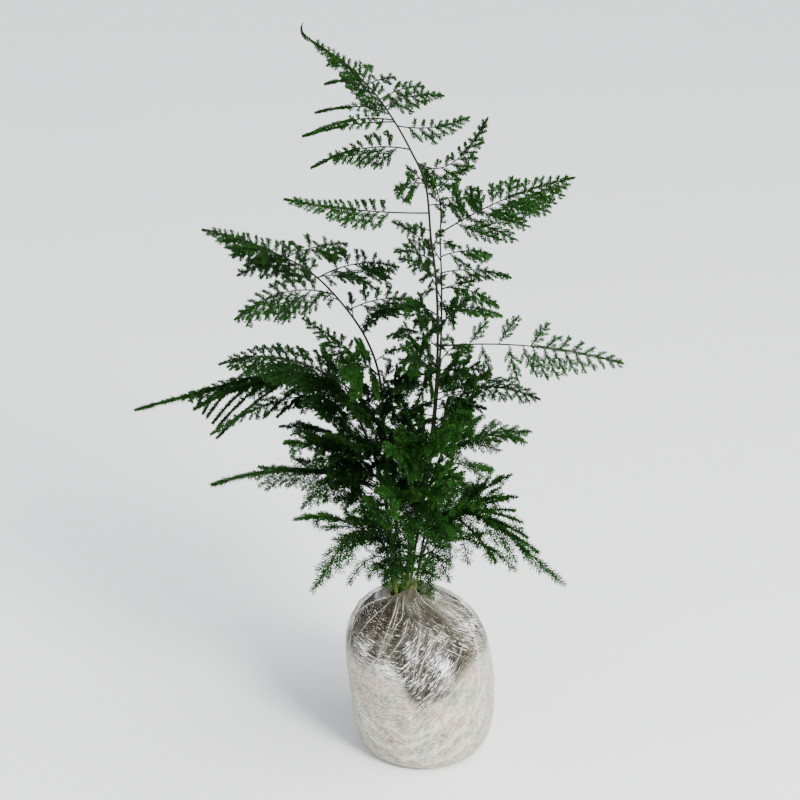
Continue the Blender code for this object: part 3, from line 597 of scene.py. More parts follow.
def grow_twiglets(twigs, rng):
    """Finer twigs on each long twig, alternate in the spray's plane, shorter to its tip."""
    gap = 0.75 + 0.62 * twigs["needle"]
    counts = np.where(twigs["length"] > 4.0 + twigs["needle"], (twigs["length"] - 3.0) / gap, 0)
    index, t, rank = spread_marks(counts.astype(int), 0.12, 0.88)
    root, along = on_axis(twigs, index, t)
    above, needle = twigs["above"][index], twigs["needle"][index]
    side = np.where(rank % 2 == 0, 1.0, -1.0)[:, None]
    lift = rng.uniform(-1.0, 1.0, (len(t), 1)) * (0.1 + 0.14 * needle[:, None])
    out = unit(np.cross(along, above) * side + above * lift)
    turn = np.radians(rng.uniform(31, 46, len(t)))[:, None]
    reach = 0.30 * twigs["length"][index] * (1.0 - t) ** 0.8 + 0.5 + 0.45 * needle
    reach = np.clip(reach, 1.5, 5.5) * rng.uniform(0.85, 1.12, len(t))
    way = along * np.cos(turn) + out * np.sin(turn)
    return {
        "root": root, "first": way * reach[:, None],
        "second": (along * 0.12 - UP * 0.08) * reach[:, None], "above": above,
        "length": reach, "dense": twigs["dense"][index] * 1.15, "fresh": twigs["fresh"][index],
        "needle": needle}


def rod_axes(ribs, settings):
    """The outer end of each rib, as a row of parabolas, each through three of its points.

    Each is clad in one or two coats of needles, given by how dense and how long they are,
    so long rods look like brushes with a dark core.
    """
    rows = []
    for rib in ribs:
        along = path_lengths(rib["line"])
        clad = rib["clad"] + 0.2 * smooth_step(205.0, 150.0, rib["line"][:, 2].mean())
        start = along[-1] * (1.0 - max(rib["rod"], clad))
        pieces = 1 + int((along[-1] - start) / 12.0)
        brush = 0.12 < rib["rod"] < 0.9
        top = float(rib["line"][-1, 2] > 300.0)
        coats = [(1.35 + 0.6 * brush * top, 1.05 + brush * (0.55 - 0.65 * top))]
        if brush and not top:
            coats.append((2.4, 0.85))
        if rib["rod"] > 0.9:
            coats = [(1.1, 1.25), (1.5, 0.60)]
        places = at_length(rib["line"], along, np.linspace(start, along[-1], 2 * pieces + 1))
        for foot, middle, end in zip(places[:-2:2], places[1::2], places[2::2]):
            for dense, long in coats:
                rows.append((foot, 4 * middle - 3 * foot - end, 2 * (foot + end) - 4 * middle,
                             (along[-1] - start) / pieces, rib["fresh"] + 0.05,
                             rib["dense"] * dense, long))
    root, first, second, length, fresh, dense, long = (np.array(column) for column in zip(*rows))
    above = side_vectors(unit(first), 0.0)[1]
    return {"root": root, "first": first, "second": second, "above": above, "length": length,
            "fresh": fresh, "dense": dense, "needle": needle_length(root[:, 2], settings) * long}


def grow_needles(axes, settings, start, rng):
    """Needles along axes: their feet, tips, ways across, widths and how fresh they are.

    They stand at even steps, each turned round the axis by the golden angle from the last,
    and lean forwards, more so when short and near the axis's tip.
    """
    longness = np.clip((axes["needle"] - 1.6) / 2.4, 0.0, 1.0)
    step = settings.needle_step / MM * (1.0 + 0.8 * longness) / axes["dense"]
    counts = np.maximum(6, axes["length"] * (1 - start) / step).astype(int)
    index, t, rank = spread_marks(counts, 0.0, 1.0)
    t = start + (1.0 - start) * t ** 0.88
    foot, along = on_axis(axes, index, t)
    above = axes["above"][index]
    across = unit(np.cross(along, above))
    round_axis = rank * GOLDEN_ANGLE + index * 1.7 + rng.uniform(-0.35, 0.35, len(t))
    round_axis = round_axis[:, None]
    out = unit(across * np.cos(round_axis) + above * 0.75 * np.sin(round_axis))
    longness = longness[index]
    turn = 54.0 + 5.0 * longness - 27.0 * t ** 1.3 + rng.uniform(-6, 6, len(t))
    turn = np.radians(turn)[:, None]
    long = axes["needle"][index] * rng.uniform(0.82, 1.08, len(t)) * (1.0 - 0.28 * t ** 3)
    way = along * np.cos(turn) + out * np.sin(turn)
    fresh = axes["fresh"][index] + 0.22 * t + rng.uniform(-0.16, 0.16, len(t))
    width = settings.needle_width / MM * (1.0 - 0.33 * longness[:, None])
    return foot, foot + way * long[:, None], unit(along - way * np.cos(turn)), width, fresh


def blade_arrays(foot, tip, side, width):
    """Closed lance-shaped needles of four triangles each.

    Foot and tip are joined by a sharp back. The two other corners stand side by side at
    0.5 of the length, half a width out, and a third of a width below the back.
    """
    belly = unit(np.cross(tip - foot, side))
    middle = foot + 0.5 * (tip - foot) + belly * width * 0.33
    verts = np.stack([foot, tip, middle + side * width * 0.5, middle - side * width * 0.5], axis=1)
    base = (np.arange(len(foot)) * 4)[:, None, None]
    faces = base + np.array([[[0, 1, 2], [1, 0, 3], [0, 2, 3], [1, 3, 2]]])
    return verts.reshape(-1, 3), faces.reshape(-1, 3)


def three_corners(place, radius, one, two):
    """The corners of three-sided rings: places moved out by a radius at three even turns."""
    ring = [place + radius * (math.cos(a) * one + math.sin(a) * two) for a in THIRDS]
    return np.stack(ring, axis=1)


def spike_arrays(foot, tip, width):
    """Closed three-sided spikes: a small triangle at the foot drawn to a point at the tip."""
    along = unit(tip - foot)
    helper = np.where(np.abs(along[:, 2:3]) > 0.9, [[1.0, 0.0, 0.0]], [[0.0, 0.0, 1.0]])
    one = unit(np.cross(along, helper))
    two = np.cross(along, one)
    corners = three_corners(foot, width * 0.5, one, two)
    verts = np.concatenate([corners, tip[:, None]], axis=1)
    base = (np.arange(len(foot)) * 4)[:, None, None]
    faces = base + np.array([[[0, 2, 1], [0, 1, 3], [1, 2, 3], [2, 0, 3]]])
    return verts.reshape(-1, 3), faces.reshape(-1, 3)


def sprig_ribs(name, line, rng):
    """Short filling sprigs: ribs that leave the stem at random heights and turns and droop.

    Each is start + way t - up droop t squared.
    """
    ribs = []
    for stem, count, low, high in SPRIGS:
        if stem != name:
            continue
        heights = np.linspace(low, high, count) + rng.uniform(-4, 4, count)
        turn = np.cumsum(rng.uniform(1.9, 3.1, count)) + rng.uniform(0, 6.3)
        for height, angle in zip(heights, turn):
            first = int(np.argmax(line[:, 2] >= height))
            length = (rng.uniform(11, 18) + 8 * smooth_step(240, 200, height)
                      + 8 * smooth_step(125, 160, height) * smooth_step(215, 190, height))
            way = np.array([math.cos(angle), math.sin(angle), rng.uniform(0.1, 0.9)]) * length
            t = np.linspace(0.0, 1.0, 17)[:, None]
            places = line[first] + way * t - UP * (0.25 * length) * t * t
            ribs.append({**RIB, "line": places, "spread": 0.30, "dip": rng.uniform(12, 62),
                         "bare": 0.14, "gap": 1.15, "turn": 54.0, "far": 60.0,
                         "dense": 1.0 + 0.2 * smooth_step(230, 190, height),
                         "fresh": FRESHNESS[name] + rng.uniform(-0.30, 0.15)})
    return ribs


def brush_rib(line, start, tip, arch):
    """A branch without twigs: a parabola from the stem, where it is start mm to the right."""
    foot = line[int(np.argmin(np.abs(line[:, 0] - start) + 1000.0 * (line[:, 2] < 120.0)))]
    return arched(foot, np.array(tip, dtype=float), arch, 17)


def stem_ribs(name, line, rng):
    """Every rib of a stem: its own end, its sprays, brushes and filling sprigs."""
    _, spread, dip = LEADERS[name]
    high = highness(line[-1, 2])
    frond = name == "stem_low_left"
    rod = 0.07 + 0.14 * smooth_step(380.0, 400.0, line[-1, 2]) + 0.12 * frond
    ribs = [{**RIB, "line": rib_of_leader(name, line), "spread": spread, "dip": dip, "rod": rod,
             "gap": 0.75 + 0.15 * frond, "clad": 0.6, "turn": 48.0 - 10.0 * high,
             "far": 55.0 + 40.0 * high, "fresh": FRESHNESS[name] + 0.05}]
    for number, spray in enumerate(SPRAYS[name]):
        bare, spread, dip, gap = LOOSE.get((name, number), (0.10, spray[3], spray[4], 1.0))
        high = highness(spray[1][2]) * (gap < 1.1)
        line_of_rib = rib_of_spray(line, spray)
        way = unit(line_of_rib[-1] - line_of_rib[0])
        facing = smooth_step(0.55, 0.85, abs(way[1]))
        dip += facing * rng.uniform(15.0, 50.0) * ((name, number) not in LOOSE)
        airy = 1.0 + 0.5 * facing * smooth_step(215.0, 240.0, line_of_rib[0, 2])
        ribs.append({**RIB, "line": line_of_rib, "spread": spread, "dip": dip, "bare": bare,
                     "rod": RODS.get((name, number), RIB["rod"]), "gap": gap * airy,
                     "turn": 58.0 - 8.0 * high, "far": 64.0 + 26.0 * high,
                     "dense": 1.0 + 0.15 * high,
                     "fresh": FRESHNESS[name] + rng.uniform(-0.22, 0.22),
                     "fixed": RIGHT_SPRIGS if (name, number) == ("stem_tall", 16) else None})
    for start, tip, arch in BRUSHES.get(name, []):
        ribs.append({**RIB, "line": brush_rib(line, start, tip, arch), "spread": 0.1, "dip": 0.0,
                     "rod": 1.0, "clad": 0.96, "turn": 50.0, "far": 50.0,
                     "fresh": FRESHNESS[name] + rng.uniform(-0.35, 0.0)})
    return ribs + sprig_ribs(name, line, rng)


def twig_arrays(axes, thick, thin, rings):
    """Closed three-sided tapered rods along many parabolas at once."""
    count = len(axes["root"])
    index = np.repeat(np.arange(count), rings)
    t = np.tile(np.linspace(0.0, 1.0, rings), count)
    place, along = on_axis(axes, index, t)
    one = unit(np.cross(along, axes["above"][index]))
    two = np.cross(along, one)
    radius = (thick + (thin - thick) * t)[:, None]
    verts = three_corners(place, radius, one, two).reshape(-1, 3)
    low = np.arange(count)[:, None] * rings + np.arange(rings - 1)[None, :]
    low = low.reshape(-1, 1, 1) * 3
    wall = []
    for k in range(3):
        n = (k + 1) % 3
        wall += [[k, n, 3 + k], [n, 3 + n, 3 + k]]
    walls = (low + np.array([wall])).reshape(-1, 3)
    first = (np.arange(count) * rings * 3)[:, None]
    last = first + (rings - 1) * 3
    return verts, np.vstack([walls, first + [[0, 2, 1]], last + [[0, 1, 2]]])


def tube_arrays(line, radii, sides):
    """A closed round tube along a line, with a flat fan at each end."""
    along = unit(np.gradient(line, axis=0))
    one = unit(np.cross(along, np.array([0.31, -0.95, 0.05])))
    two = np.cross(along, one)
    angle = np.linspace(0.0, 2.0 * math.pi, sides, endpoint=False)[None, :, None]
    ring = line[:, None] + radii[:, None, None] * (
        np.cos(angle) * one[:, None] + np.sin(angle) * two[:, None])
    verts = np.vstack([ring.reshape(-1, 3), line[:1], line[-1:]])
    return verts, lathe_faces(len(line), sides)


def stacked(parts):
    """Several vertex and face arrays as one."""
    verts, faces, offset = [], [], 0
    for v, f in parts:
        verts.append(v)
        faces.append(f + offset)
        offset += len(v)
    return np.vstack(verts), np.vstack(faces)


def ring_profile(s):
    """Height, radius and centre of the ball at ring number s, smooth between the rings."""
    rings = with_ends(np.array(FILM_RINGS))
    whole = np.clip(np.floor(s).astype(int), 0, len(FILM_RINGS) - 2)
    return catmull_rom(*(rings[whole + k] for k in range(4)), (s - whole)[..., None])


def lathe_faces(rows, columns):
    """Faces of a closed grid of rings between two poles, which are its last two vertices."""
    k = np.arange(columns)
    n = (k + 1) % columns
    low = (np.arange(rows - 1) * columns)[:, None]
    walls = np.stack([low + k, low + n, low + columns + n, low + k,
                      low + columns + n, low + columns + k], axis=-1).reshape(-1, 3)
    first, last, top = rows * columns, rows * columns + 1, (rows - 1) * columns
    caps = np.vstack([np.stack([n, k, np.full(columns, first)], axis=1),
                      np.stack([top + k, top + n, np.full(columns, last)], axis=1)])
    return np.vstack([walls, caps])


def ball_points(s, angle, outwards, lift=0.0):
    """Points of the ball at ring number s and angle, moved outwards by some mm.

    A point is the ring's centre plus its radius in the angle's direction.
    """
    profile = ring_profile(s)
    radius = profile[..., 1] + outwards
    return np.stack([profile[..., 2] + radius * np.cos(angle),
                     profile[..., 3] + radius * np.sin(angle),
                     profile[..., 0] + lift], axis=-1)


def degrees_from(centre, angle):
    """How far an angle is from a centre in degrees, as degrees from -180 to 180."""
    return np.degrees(np.angle(np.exp(1j * (angle - math.radians(centre)))))


def tent_rise(s, angle):
    """How far the film's peaked fold stands up at ring number s and angle, in mm.

    Its left side is a long straight slope, its right one is short, and it ends below the neck.
    """
    away = degrees_from(TENT_ANGLE - 4.0, angle)
    share = np.clip(np.where(away < 0.0, 1.0 + away / 62.0, 1.0 - away / 26.0), 0.0, 1.0)
    return TENT_HEIGHT * share * smooth_step(9.6, 12.0, s) ** 1.3


def line_distance(points, corners):
    """Distance in mm from each point to the nearest of a line's straight pieces.

    On each piece the nearest place is the foot of the perpendicular, kept between its ends.
    """
    nearest = np.full(points.shape[:-1], 1e9)
    for start, end in zip(corners, corners[1:]):
        piece = end - start
        t = np.clip(((points - start) @ piece) / (piece @ piece), 0.0, 1.0)
        away = np.linalg.norm(points - start - t[..., None] * piece, axis=-1)
        nearest = np.minimum(nearest, away)
    return nearest


def all_creases(rng):
    """The creases drawn for the front, then random ones for the sides and the back."""
    creases = list(CREASES)
    for _ in range(34):
        angle, ring = rng.uniform(-20, 185), rng.uniform(8.5, 11.9)
        fall, drift = rng.uniform(2.0, 4.5), rng.uniform(-26, 26)
        route = [(angle + drift * k / 3.0, ring - fall * k / 3.0) for k in range(4)]
        creases.append((route, rng.uniform(0.35, 0.7), rng.uniform(0.35, 0.9)))
    for _ in range(22):
        angle, ring = rng.uniform(-180, 180), rng.uniform(1.2, 5.2)
        reach, climb = rng.uniform(14, 42), rng.uniform(0.4, 1.9)
        route = [(angle + reach * k / 3.0, ring + climb * k / 3.0) for k in range(4)]
        creases.append((route, rng.uniform(0.3, 0.6), rng.uniform(0.08, 0.25)))
    return creases


def crease_line(route, lift):
    """A crease's centre line on the film, smooth through its points, lifted by some mm."""
    marks = smooth_route([(angle / 10.0, ring, 0.0) for angle, ring in route], 0.25)
    turn, ring = np.radians(marks[:, 0] * 10.0), marks[:, 1]
    return ball_points(ring, turn, lift, tent_rise(ring, turn))


def place_share(places, s, angle):
    """Sum of round soft spots: exp of minus the squared distance, in angle and ring."""
    total = np.zeros_like(s)
    for centre, ring, wide, high, strength in places:
        away = degrees_from(centre, angle)
        total += strength * np.exp(-(away / wide) ** 2 - ((s - ring) / high) ** 2)
    return np.clip(total, 0.0, 1.0)


def film_pleats(fan, down):
    """Noise crests drawn out along lines that fan from the neck, gone half way down the ball."""
    sway = 0.5 * np.sin(down * 0.9)
    pleat = ridge(lattice_noise(fan * 44 + sway, down * 0.22, 3, 44)) ** 3
    sway = 0.8 * np.sin(down * 0.7 + 2.0)
    pleat += 0.6 * ridge(lattice_noise(fan * 96 + sway, down * 0.4, 5, 96)) ** 4
    return pleat * (smooth_step(7.5, 4.5, down) * smooth_step(-0.5, 0.8, down))


def overlap_edge(fan, down, turned):
    """How many rings below the neck the film's layers begin to overlap, at turned degrees."""
    edge = 6.9 + 1.2 * (lattice_noise(fan * 11, down * 0.4, 41, 11) - 0.5)
    edge -= 1.5 * smooth_step(-93.0, -108.0, turned) + 1.2 * smooth_step(-66.0, -40.0, turned)
    return edge + 1.1 * np.exp(-((turned + 86.0) / 10.0) ** 2)


def press_creases(relief, fold, points, rng):
    """Raise each long crease by a bell curve of the distance to its line, and mark it in fold,
    whose white is partly thicker film and partly a painted highlight.
    """
    for route, wide, shine in all_creases(rng):
        marks = np.array(route, dtype=float)
        t = np.linspace(0, len(marks) - 1, 4 * len(marks))
        turn = np.radians(np.interp(t, np.arange(len(marks)), marks[:, 0]))
        ring = np.interp(t, np.arange(len(marks)), marks[:, 1])
        away = line_distance(points, ball_points(ring, turn, 0.0))
        relief += 0.40 * shine * np.exp(-(away / (wide * 1.3)) ** 2)
        np.maximum(fold, 0.22 * shine * np.exp(-(away / 1.6) ** 2), out=fold)


def film_fields(s, angle, points, rng):
    """Relief in mm and the masks of the film at ring number s and angle.

    Relief adds pleats, bands (noise drawn out along a slant) and long creases. Haze rises
    below the shoulder, where more layers overlap; slope goes from 0 to 2 with the turn of
    the fine ripples; tan goes past 1 in the brown hollows of the neck, where shade is painted.
    Glare marks painted silvery highlights; fold marks creases, pleats and the rim, whose white
    is partly thicker film and partly a painted highlight.
    """
    down = 12.0 - s
    fan = angle / (2.0 * math.pi) + 0.5
    pleat = film_pleats(fan, down)
    patch = lattice_noise(fan * 9 + 0.3, down * 0.7, 21, 9)
    # Painted glare: silvery highlights at the listed places and in random patches on the sides
    glare = place_share(GLARE_PLACES, s, angle)
    clear = place_share(CLEAR_PLACES, s, angle)
    side = smooth_step(0.15, 0.5, np.sin(angle) * 0.5 + 0.5)
    clear = clear * smooth_step(8.2, 6.8, down)
    glare += side * smooth_step(0.72, 0.9, patch) * smooth_step(9, 6.5, down)
    glare = np.clip(glare, 0, 1)
    turned = np.degrees(angle)
    edge = overlap_edge(fan, down, turned)
    shoulder = smooth_step(-82.0, -62.0, turned) * smooth_step(15.0, 0.0, turned)
    shoulder = shoulder * smooth_step(8.4, 9.8, s)
    crinkle = smooth_step(0.6, 2.2, down) * smooth_step(edge + 1.2, edge - 1.0, down)
    crinkle *= (0.45 + 0.55 * patch) * (1.0 - 0.6 * shoulder)
    crinkle = np.clip(crinkle + 0.35 * glare, 0.22 * smooth_step(5.0, 7.5, down), 1.0)
    slant = fan * 20 + down * 0.75
    band = lattice_noise(slant * 3.0, fan * 9 - down * 0.5, 31)
    band = 0.6 * band + 0.4 * lattice_noise(slant * 8.0, fan * 14 - down * 0.8, 33)
    fold = np.zeros_like(s)
    relief = 0.9 * pleat + 0.5 * (band - 0.5) * smooth_step(3.0, 7.0, down)
    press_creases(relief, fold, points, rng)
    # Painted highlights along the pleats below the neck
    fold = np.maximum(fold, 0.12 * np.clip(pleat, 0, 1) ** 2)
    haze = smooth_step(edge - 1.5, edge + 0.9, down)
    right = degrees_from(-22, angle)
    haze = np.maximum(haze, 0.80 * np.exp(-(right / 24) ** 2) * smooth_step(0.3, 2.5, down))
    wisps = smooth_step(0.3, 0.8, lattice_noise(fan * 14, down * 0.9, 43, 14))
    haze = np.maximum(haze, 0.12 + 0.40 * wisps)
    haze = np.clip(haze * (1.0 - 0.85 * clear), 0, 1)
    tan = smooth_step(2.6, 0.3, down + 0.8 * (patch - 0.5))
    # The hollows add painted shade: where tan passes 1, the film turns near black
    tan = np.maximum(tan, 0.55 * shoulder) + place_share(SHADED_HOLLOWS, s, angle)
    turned = turned + 16.0 * (patch - 0.5)
    slope = smooth_step(-108.0, -90.0, turned)
    slope += smooth_step(-66.0, -50.0, turned + 9.0 * (s - 7.0))
    slope = np.where(np.sin(angle) > 0.2, 2.0 * patch, slope)
    # A painted highlight along the rim of the neck
    fold = np.maximum(fold, 0.35 * smooth_step(11.90, 11.98, s) * (down > -0.01))
    return relief, {"haze": haze, "fold": fold, "band": band, "crinkle": crinkle,
                    "glare": glare, "slope": slope, "tan": tan}


def shader_tree(name):
    """A new material and its node tree, with the Principled shader."""
    material = bpy.data.materials.new(name)
    material.use_nodes = True
    tree = material.node_tree
    return material, tree, tree.nodes["Principled BSDF"]


def feed(tree, node, inputs):
    """Fill a node's inputs by name or number: sockets are linked, plain values are set."""
    for key, value in inputs.items():
        if isinstance(value, bpy.types.NodeSocket):
            tree.links.new(value, node.inputs[key])
        else:
            node.inputs[key].default_value = value


def add_node(tree, kind, **values):
    """A node with some of its settings and inputs filled in."""
    made = tree.nodes.new(kind)
    for key, value in values.items():
        if key in made.inputs:
            feed(tree, made, {key: value})
        else:
            setattr(made, key, value)
    return made


def attribute_node(tree, name):
    """The value output of a named attribute."""
    return add_node(tree, "ShaderNodeAttribute", attribute_name=name).outputs["Fac"]


def noise_value(tree, place, **values):
    """The value output of a noise texture at a place."""
    return add_node(tree, "ShaderNodeTexNoise", Vector=place, **values).outputs["Fac"]


def object_place(tree):
    """The place of a point on the piece, in metres."""
    return add_node(tree, "ShaderNodeTexCoord").outputs["Object"]


def mixed(tree, factor, one, two, blend="MIX"):
    """The colour output of a mix of two colours or sockets."""
    made = add_node(tree, "ShaderNodeMix", data_type="RGBA", blend_type=blend)
    for number, value in zip((0, 6, 7), (factor, one, two)):
        if not isinstance(value, (bpy.types.NodeSocket, int, float)):
            value = (*value[:3], 1.0)
        feed(tree, made, {number: value})
    return made.outputs[2]


def arith(tree, operation, one, two, clamp=False):
    """The output of a Math node on sockets or numbers."""
    made = add_node(tree, "ShaderNodeMath", operation=operation, use_clamp=clamp)
    feed(tree, made, {0: one, 1: two})
    return made.outputs[0]


def plus(tree, one, two, clamp=False):
    """The sum of two sockets or numbers."""
    return arith(tree, "ADD", one, two, clamp)


def minus(tree, one, two, clamp=False):
    """The difference of two sockets or numbers."""
    return arith(tree, "SUBTRACT", one, two, clamp)


def times(tree, one, two, clamp=False):
    """The product of two sockets or numbers."""
    return arith(tree, "MULTIPLY", one, two, clamp)


def weighted(tree, *pairs):
    """The sum of values, each times its own weight."""
    total = times(tree, *pairs[0])
    for pair in pairs[1:]:
        total = plus(tree, total, times(tree, *pair))
    return total


def stretched(tree, value, low, gain):
    """A value less its low end, times a gain, kept between 0 and 1."""
    return times(tree, minus(tree, value, low), gain, clamp=True)


def value_group(name, numbers, normal=False):
    """A new node group on a Vector and some numbers: the group, what is given, its result."""
    group = bpy.data.node_groups.new(name, "ShaderNodeTree")
    face = group.interface
    face.new_socket("Vector", in_out="INPUT", socket_type="NodeSocketVector")
    for title, number in numbers.items():
        socket = face.new_socket(title, in_out="INPUT", socket_type="NodeSocketFloat")
        socket.default_value = number
    face.new_socket("Value", in_out="OUTPUT", socket_type="NodeSocketFloat")
    if normal:
        face.new_socket("Normal", in_out="OUTPUT", socket_type="NodeSocketVector")
    inside = group.nodes.new("NodeGroupInput")
    return group, inside.outputs, group.nodes.new("NodeGroupOutput")


def speckle_group():
    """Node group: two sizes of noise at a place, as one value from 0 to 1 and one normal."""
    if "speckle" in bpy.data.node_groups:
        return bpy.data.node_groups["speckle"]
    group, given, result = value_group("speckle", {"Scale": 400.0, "Depth": 0.0002}, normal=True)
    coarse = noise_value(group, given["Vector"], Scale=given["Scale"], Detail=3.0)
    fine = noise_value(group, given["Vector"], Scale=times(group, given["Scale"], 4.3), Detail=2.0)
    total = weighted(group, (coarse, 0.62), (fine, 0.38))
    bump = add_node(group, "ShaderNodeBump", Strength=1.0, Height=total, Distance=given["Depth"])
    feed(group, result, {"Value": total, "Normal": bump.outputs["Normal"]})
    return group


def speckle(tree, scale, depth):
    """The speckle group on Object coordinates."""
    made = add_node(tree, "ShaderNodeGroup", node_tree=speckle_group(), Vector=object_place(tree),
                    Scale=scale, Depth=depth)
    return made.outputs["Value"], made.outputs["Normal"]


def needle_material(settings):
    """Green needles: darker when old, lighter when young, paler towards their points as a painted
    highlight.
    """
    material, tree, shader = shader_tree("fern_needles")
    value, _ = speckle(tree, 200.0, 0.0001)
    change = times(tree, minus(tree, value, 0.5), 0.7)
    tone = plus(tree, attribute_node(tree, "fresh"), change, clamp=True)
    base = mixed(tree, tone, settings.old_green, settings.young_green)
    # Painted highlight: a paler green towards the needles' points, stronger on young needles
    pale = times(tree, attribute_node(tree, "point"), times(tree, tone, 0.35))
    base = mixed(tree, pale, base, (0.05, 0.16, 0.02))
    feed(tree, shader, {"Base Color": base, "Roughness": 0.65, "Specular IOR Level": 0.06})
    return material


def wood_material():
    """Stems and twigs: brown green, yellow green at the foot, with fine spots and ribs."""
    material, tree, shader = shader_tree("fern_stems")
    value, normal = speckle(tree, 700.0, 0.00008)
    base = mixed(tree, value, (0.003, 0.004, 0.002), (0.013, 0.014, 0.006))
    base = mixed(tree, attribute_node(tree, "green"), base, (0.001, 0.009, 0.001))
    base = mixed(tree, attribute_node(tree, "young"), base, (0.12, 0.18, 0.02))
    feed(tree, shader, {"Base Color": base, "Normal": normal, "Roughness": 0.55,
                        "Specular IOR Level": 0.15})
    return material


def peat_material(settings):
    """Damp peat: dark brown with lighter fibres and a few pale grains."""
    material, tree, shader = shader_tree("damp_peat")
    value, normal = speckle(tree, 330.0, 0.0009)
    grain = add_node(tree, "ShaderNodeTexVoronoi", Vector=object_place(tree), Scale=420.0)
    base = mixed(tree, stretched(tree, value, 0.42, 4.0), settings.peat, (0.024, 0.016, 0.009))
    pale = arith(tree, "LESS_THAN", grain.outputs["Distance"], 0.16)
    base = mixed(tree, times(tree, pale, 0.35), base, (0.10, 0.08, 0.055))
    feed(tree, shader, {"Base Color": base, "Normal": normal, "Roughness": 0.85,
                        "Specular IOR Level": 0.2})
    return material


def shard_group():
    """Node group: long thin facets of crumpled film on a UV map in centimetres.

    Two Voronoi patterns, bent by noise, are drawn out along one slant. The value is
    the cells' random numbers, mixed from the large and the small pattern.
    """
    if "film_shards" in bpy.data.node_groups:
        return bpy.data.node_groups["film_shards"]
    group, given, result = value_group("film_shards", {"Scale": 6.0})
    sway = add_node(group, "ShaderNodeTexNoise", Vector=given["Vector"], Scale=1.3, Detail=2.0)
    bent = mixed(group, 0.12, given["Vector"], sway.outputs["Color"], "ADD")
    large, small = (
        add_node(group, "ShaderNodeTexVoronoi", Vector=bent,
                 Scale=times(group, given["Scale"], factor)).outputs["Color"]
        for factor in (1.0, 2.3))
    split = add_node(group, "ShaderNodeSeparateColor", Color=mixed(group, 0.5, large, small))
    feed(group, result, {"Value": split.outputs[0]})
    return group


def drawn_out(tree, layers, turn, longer):
    """The UV map turned so that a texture on it is drawn out along a slant in degrees."""
    place = add_node(tree, "ShaderNodeMapping", vector_type="TEXTURE", Vector=layers,
                     Rotation=(0.0, 0.0, math.radians(turn)), Scale=(longer, 1.0, 1.0))
    return place.outputs["Vector"]


def ripple_group():
    """Node group: fine wrinkles of film on a UV map in centimetres, as a value from 0 to 1.

    Sine bands across the second coordinate, pushed about by noise, with facets mixed in.
    """
    if "film_ripples" in bpy.data.node_groups:
        return bpy.data.node_groups["film_ripples"]
    group, given, result = value_group("film_ripples", {})
    wave = add_node(group, "ShaderNodeTexWave", wave_type="BANDS", bands_direction="Y",
                    Vector=given["Vector"], Scale=2.3, Distortion=13.0, Detail=3.0)
    feed(group, wave, {"Detail Scale": 1.3, "Detail Roughness": 0.62})
    facets = add_node(group, "ShaderNodeGroup", node_tree=shard_group(), Vector=given["Vector"],
                      Scale=9.0)
    total = weighted(group, (wave.outputs["Fac"], 0.50), (facets.outputs["Value"], 0.56))
    feed(group, result, {"Value": total})
    return group


def ripples(tree, layers, turn, longer):
    """The ripple group, its wrinkles drawn out along a slant."""
    made = add_node(tree, "ShaderNodeGroup", node_tree=ripple_group(),
                    Vector=drawn_out(tree, layers, turn, longer))
    return made.outputs["Value"]


def film_facets(tree, layers, slope):
    """Ripples along three slants: the left one at slope 0, the middle one at 1, the right at 2."""
    right = minus(tree, slope, 1.0, clamp=True)
    left = minus(tree, 1.0, slope, clamp=True)
    middle = minus(tree, minus(tree, 1.0, left), right)
    return weighted(tree, (ripples(tree, layers, -8.0, 4.0), left),
                    (ripples(tree, layers, 48.0, 5.0), middle),
                    (ripples(tree, layers, -46.0, 5.0), right))


